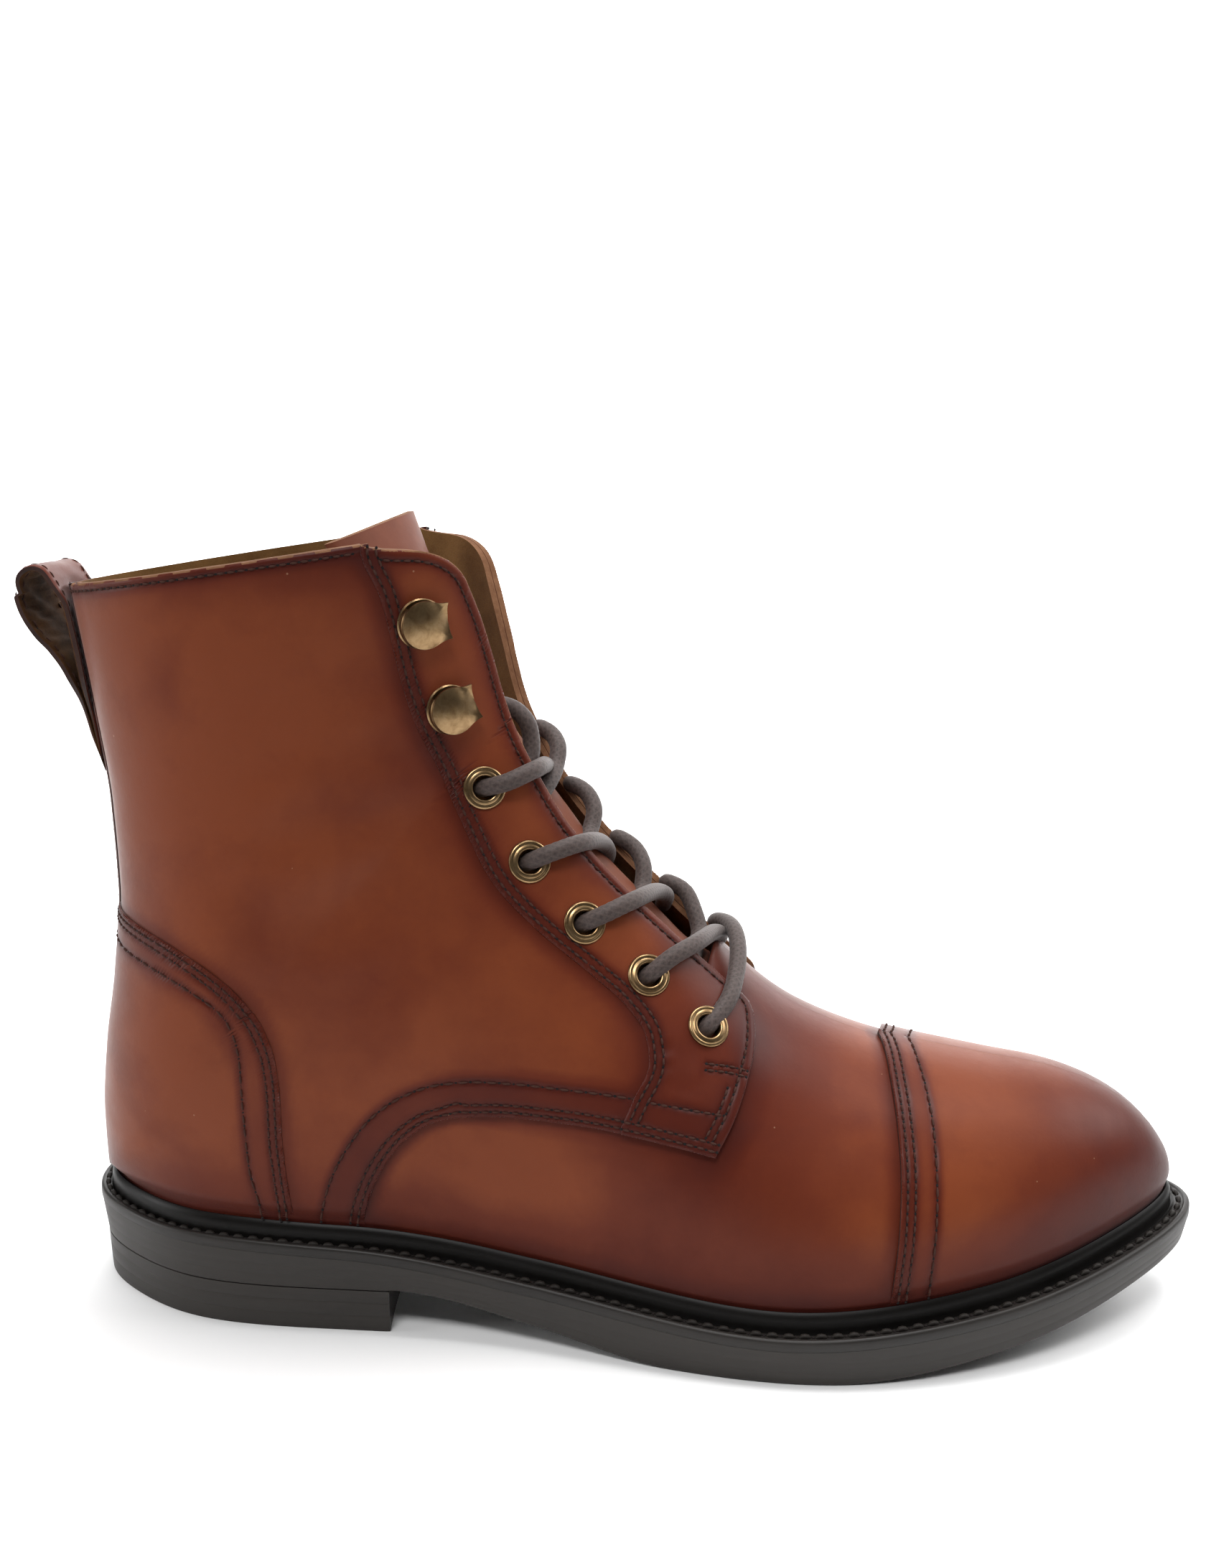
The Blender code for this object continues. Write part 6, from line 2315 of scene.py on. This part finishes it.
    def build(self) -> list[Piece]:
        """Make all eyelets and hooks.

        Returns:
            The pieces.
        """
        out = []
        for side, word in SIDES:
            for k, (x, z) in enumerate(EYELETS):
                piece = self.eyelet("brass_eyelet_%s_%d" % (word, k + 1), *self.frame(x, z, side))
                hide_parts("eyelet_%s_%d" % (word, k + 1))
                out.append(piece)
            for k, (x, z, turn) in enumerate(HOOKS):
                piece = self.hook("brass_hook_%s_%d" % (word, k + 1), *self.frame(x, z, side, turn))
                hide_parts("hook_%s_%d" % (word, k + 1))
                out.append(piece)
        return out


@dataclass(frozen=True)
class Crossing:
    """Bends of a pair of crossing strands.

    The outer strand's first two are places on the facing seen from the side; the others are points in space.
    """

    half: tuple
    edge: tuple
    tip: tuple
    far: tuple


CROSSINGS = (
    Crossing((163.4, 99.5), (167.7, 100.7), ((175.6, 3.5, 100.6), (177.1, 9.5, 98.4)),
             ((161.7, 18.0, 110.6), (166.7, 15.5, 108.9), (169.7, 11.5, 104.4), (171.4, 7.0, 99.4))),
    Crossing((147.0, 111.9), (152.1, 113.2), ((160.2, 2.6, 112.1), (161.9, 8.6, 109.4)),
             ((147.7, 17.1, 123.5), (152.8, 14.6, 121.1), (155.5, 10.6, 117.2), (155.5, 6.1, 112.0))),
    Crossing((132.2, 127.8), (138.3, 128.9), ((145.0, 1.2, 125.7), (145.8, 7.2, 122.1)),
             ((134.3, 15.7, 138.9), (139.0, 13.2, 137.4), (141.9, 9.2, 133.4), (141.3, 4.7, 128.5))),
    Crossing((120.5, 146.4), (126.0, 148.4), ((129.7, 0.3, 147.2), (129.6, 6.3, 144.7)),
             ((126.1, 14.8, 155.0), (129.9, 12.3, 153.5), (132.1, 8.3, 150.8), (132.0, 3.8, 146.5))),
)


@dataclass
class Laces:
    """Round waxed lace: a bar across the lowest eyelets and crossings above."""

    finish: Finishes
    radius: float = 2.3
    sides: int = 28
    step: float = 0.34
    ride: float = 4.9
    hidden: float = -5.5
    mouth: float = 0.4
    near_dive: tuple = (-1.2, 8.5, -5.0)
    far_dive: tuple = (-0.8, -5.5, -2.6)
    yarns: int = 7
    period: float = 2.1
    bar: tuple = ((180.0, -21.5, 89.8), (182.0, -12.0, 94.1), (182.3, -2.0, 98.3), (181.2, 6.0, 100.4),
                  (179.0, 13.0, 100.6), (175.6, 19.5, 99.0), (175.4, 25.0, 94.0))
    tail: tuple = ((104.5, -15.5, 158.5), (110.5, -12.0, 162.6), (116.5, -8.0, 165.0), (121.8, -6.0, 163.8),
                   (125.4, -6.5, 160.6), (126.8, -7.0, 156.0), (126.6, -9.0, 150.4), (123.5, -13.0, 146.0))

    def over(self, side: int, place: tuple, lift: float) -> np.ndarray:
        """Find a point at a height over the face, from its place in the side view."""
        row, v = LAST.find(*place)
        return LAST.lift(np.array([row]), np.array([v]), side, np.array([lift]))[0]

    def entry(self, side: int, hole: tuple) -> list:
        """Bring the lace from under a facing up to the mouth of its eyelet."""
        return [self.over(side, hole, self.hidden), self.over(side, hole, self.mouth)]

    def strands(self, index: int) -> list:
        """Run the two strands of a crossing, the outer one on top.

        Args:
            index: which eyelets, from the lowest.

        Returns:
            Points of both centre lines.
        """
        hole, run = EYELETS[index], CROSSINGS[index - 1]
        low = np.array(EYELETS[index - 1])
        near = [*self.entry(-1, hole), self.over(-1, run.half, self.ride - 0.5),
                self.over(-1, run.edge, self.ride), *map(np.array, run.tip)]
        near.append(near[-1] + np.array(self.near_dive))
        back = tuple(np.array(hole) + 0.45 * (np.array(run.edge) - np.array(hole)))
        far = [*self.entry(1, hole), self.over(1, back, self.ride), *map(np.array, run.far)]
        far.append(far[-1] + np.array(self.far_dive))
        far.append(self.over(-1, tuple(0.45 * np.array(run.edge) + 0.55 * low), -5.0))
        return [near, far]

    def braid(self, path: np.ndarray) -> tuple[np.ndarray, list, np.ndarray]:
        """Braid a round cord along a path.

        Args:
            path: centre line points.

        Returns:
            Points, faces, and how far each point stands out, which also sets its painted highlight.
        """
        p = curve_through(path, self.step)
        along = unit(np.gradient(p, axis=0))
        side = unit(np.cross(along[0], [0.3, 0.2, 1.0]))
        frames = []
        for t in along:
            side = unit(side - t * (side @ t))
            frames.append((side, np.cross(t, side)))
        a, b = (np.array([f[k] for f in frames]) for k in (0, 1))
        turn = np.linspace(0, 2 * np.pi, self.sides, endpoint=False)
        run = np.arange(len(p)) * self.step
        around, ahead = self.yarns * turn[None], run[:, None] * 2 * np.pi / self.period
        one, two = 0.5 + 0.5 * np.cos(around + ahead), 0.5 + 0.5 * np.cos(around - ahead)
        proud_highlight = np.maximum(one ** 1.5, two ** 1.5)
        r = self.radius * (0.97 + 0.05 * proud_highlight)
        points = (p[:, None] + a[:, None] * (np.cos(turn) * r)[..., None]
                  + b[:, None] * (np.sin(turn) * r)[..., None])
        n, m = points.shape[:2]
        faces = ring_quads(n, m) + [list(range(m))[::-1], list(range((n - 1) * m, n * m))]
        return points.reshape(-1, 3), faces, proud_highlight.reshape(-1)

    def cord(self, name: str, paths: list) -> Piece:
        """Make one piece from the cords along some paths.

        Args:
            name: piece name.
            paths: centre lines.

        Returns:
            The piece.
        """
        cords = [self.braid(np.array(path)) for path in paths]
        return BUILD.piece(name, *joined([cord[:2] for cord in cords]), [self.finish.lace],
                           attrs={"proud_highlight": np.concatenate([cord[2] for cord in cords])}, sharp=70)

    def build(self) -> list[Piece]:
        """Run the lace through the eyelets.

        Returns:
            The bar and the crossings.
        """
        bar = [*self.entry(-1, EYELETS[0]), *map(np.array, self.bar), *self.entry(1, EYELETS[0])[::-1]]
        out = [self.cord("lace_lowest_bar", [bar])]
        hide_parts("lace_bar")
        for k in range(1, len(EYELETS)):
            strands = self.strands(k)
            if k == len(EYELETS) - 1:
                strands.append([np.array(p) for p in self.tail])
            piece = self.cord("lace_crossing_%d" % (k + 1), strands)
            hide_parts("lace_cross_%d" % (k + 1))
            out.append(piece)
        return out


@dataclass
class Studio:
    """Pale floor, soft light and the camera at the photograph's angle."""

    eye: tuple = (186.805, -432.884, 236.339)
    yaw: float = -5.4866
    pitch: float = -12.1798
    focal: float = 49.287
    sensor: float = 36.0
    floor_tone: float = 0.93
    fill: float = 0.08
    lamps: tuple = (
        # name, place, target, size, watts, spread in degrees
        ("overhead_box", (0.05, 0.52, 1.5), (0.05, 0.44, 0.0), (1.7, 1.2), 8.3, 56.0),
        ("backdrop_box", (0.0, 1.6, 2.6), (0.0, 4.6, 0.9), (4.0, 1.0), 460.0, 180.0),
        ("left_box", (-1.3, -0.25, 0.40), (-0.1, 0.0, 0.1), (0.5, 0.8), 0.85, 60.0),
        ("right_box", (1.2, 0.35, 0.95), (0.08, 0.0, 0.06), (1.2, 1.0), 2.9, 60.0),
        ("front_box", (-0.1, -0.75, 1.2), (0.0, 0.06, 0.05), (0.7, 0.35), 0.8, 44.0))

    def floor(self) -> None:
        """Lay a pale sweep that rises behind the boot."""
        s = Shade("pale_floor", 0.9)
        s.set("Base Color", (self.floor_tone, self.floor_tone, self.floor_tone, 1.0))
        xs = np.linspace(-6, 6, 5)
        bend = np.linspace(0.1, np.pi / 2, 14)
        depth = np.concatenate([np.linspace(-5, 3.0, 8), 3.0 + np.sin(bend) * 1.5, [4.5]])
        height = np.concatenate([np.zeros(8), 1.5 - np.cos(bend) * 1.5, [6.0]])
        points = [(x, y, z) for y, z in zip(depth, height) for x in xs]
        m = len(xs)
        faces = [(i * m + j, i * m + j + 1, (i + 1) * m + j + 1, (i + 1) * m + j)
                 for i in range(len(depth) - 1) for j in range(m - 1)]
        mesh = bpy.data.meshes.new("studio_floor")
        mesh.from_pydata(points, [], faces)
        mesh.materials.append(s.mat)
        mesh.polygons.foreach_set("use_smooth", np.ones(len(mesh.polygons), bool))
        linked("studio_floor", mesh)

    @staticmethod
    def lamp(name: str, place: tuple, target: tuple, size: tuple, power: float, spread: float) -> None:
        """Hang one soft box.

        Args:
            name: lamp name.
            place: where it hangs.
            target: where it points.
            size: width and height.
            power: watts.
            spread: degrees.
        """
        light = bpy.data.lights.new(name, "AREA")
        light.shape = "RECTANGLE"
        light.size, light.size_y = size
        light.energy = power
        light.spread = math.radians(spread)
        obj = linked(name, light)
        obj.location = place
        obj.rotation_euler = (Vector(target) - Vector(place)).to_track_quat("-Z", "Y").to_euler()

    def light(self) -> None:
        """Set the soft boxes and the room's fill."""
        world = bpy.data.worlds.new("studio_room")
        world.use_nodes = True
        room = world.node_tree.nodes["Background"]
        room.inputs["Color"].default_value = (1.0, 1.0, 1.0, 1.0)
        room.inputs["Strength"].default_value = self.fill
        bpy.context.scene.world = world
        for lamp in self.lamps:
            self.lamp(*lamp)

    def camera(self) -> None:
        """Stand the camera where the photograph was taken."""
        data = bpy.data.cameras.new("photo_camera")
        data.sensor_fit = "HORIZONTAL"
        data.sensor_width = self.sensor
        data.lens = self.focal
        data.clip_start = 0.01
        obj = linked("photo_camera", data)
        yaw, pitch = math.radians(self.yaw), math.radians(self.pitch)
        look = Vector((math.sin(yaw) * math.cos(pitch), math.cos(yaw) * math.cos(pitch), math.sin(pitch)))
        obj.location = (np.array(self.eye) + BUILD.shift) * MM
        obj.rotation_euler = look.to_track_quat("-Z", "Y").to_euler()
        bpy.context.scene.camera = obj

    def build(self) -> None:
        """Set up floor, light and camera."""
        self.floor()
        self.light()
        self.camera()
        bpy.context.scene.view_settings.view_transform = "Standard"


def main() -> None:
    """Build the boot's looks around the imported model."""
    logging.basicConfig(level=logging.INFO, format="%(message)s")
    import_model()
    BUILD.settle()
    Studio().build()
    finish = Finishes()
    count = 0
    for kind in (Sole, Upper, Tongue, PullLoop, Fittings, Laces):
        made = kind(finish).build()
        count += len(made)
        LOG.info("%s: %d pieces", kind.__name__, len(made))
    LOG.info("%d pieces in all", count)


if __name__ == "__main__":
    main()
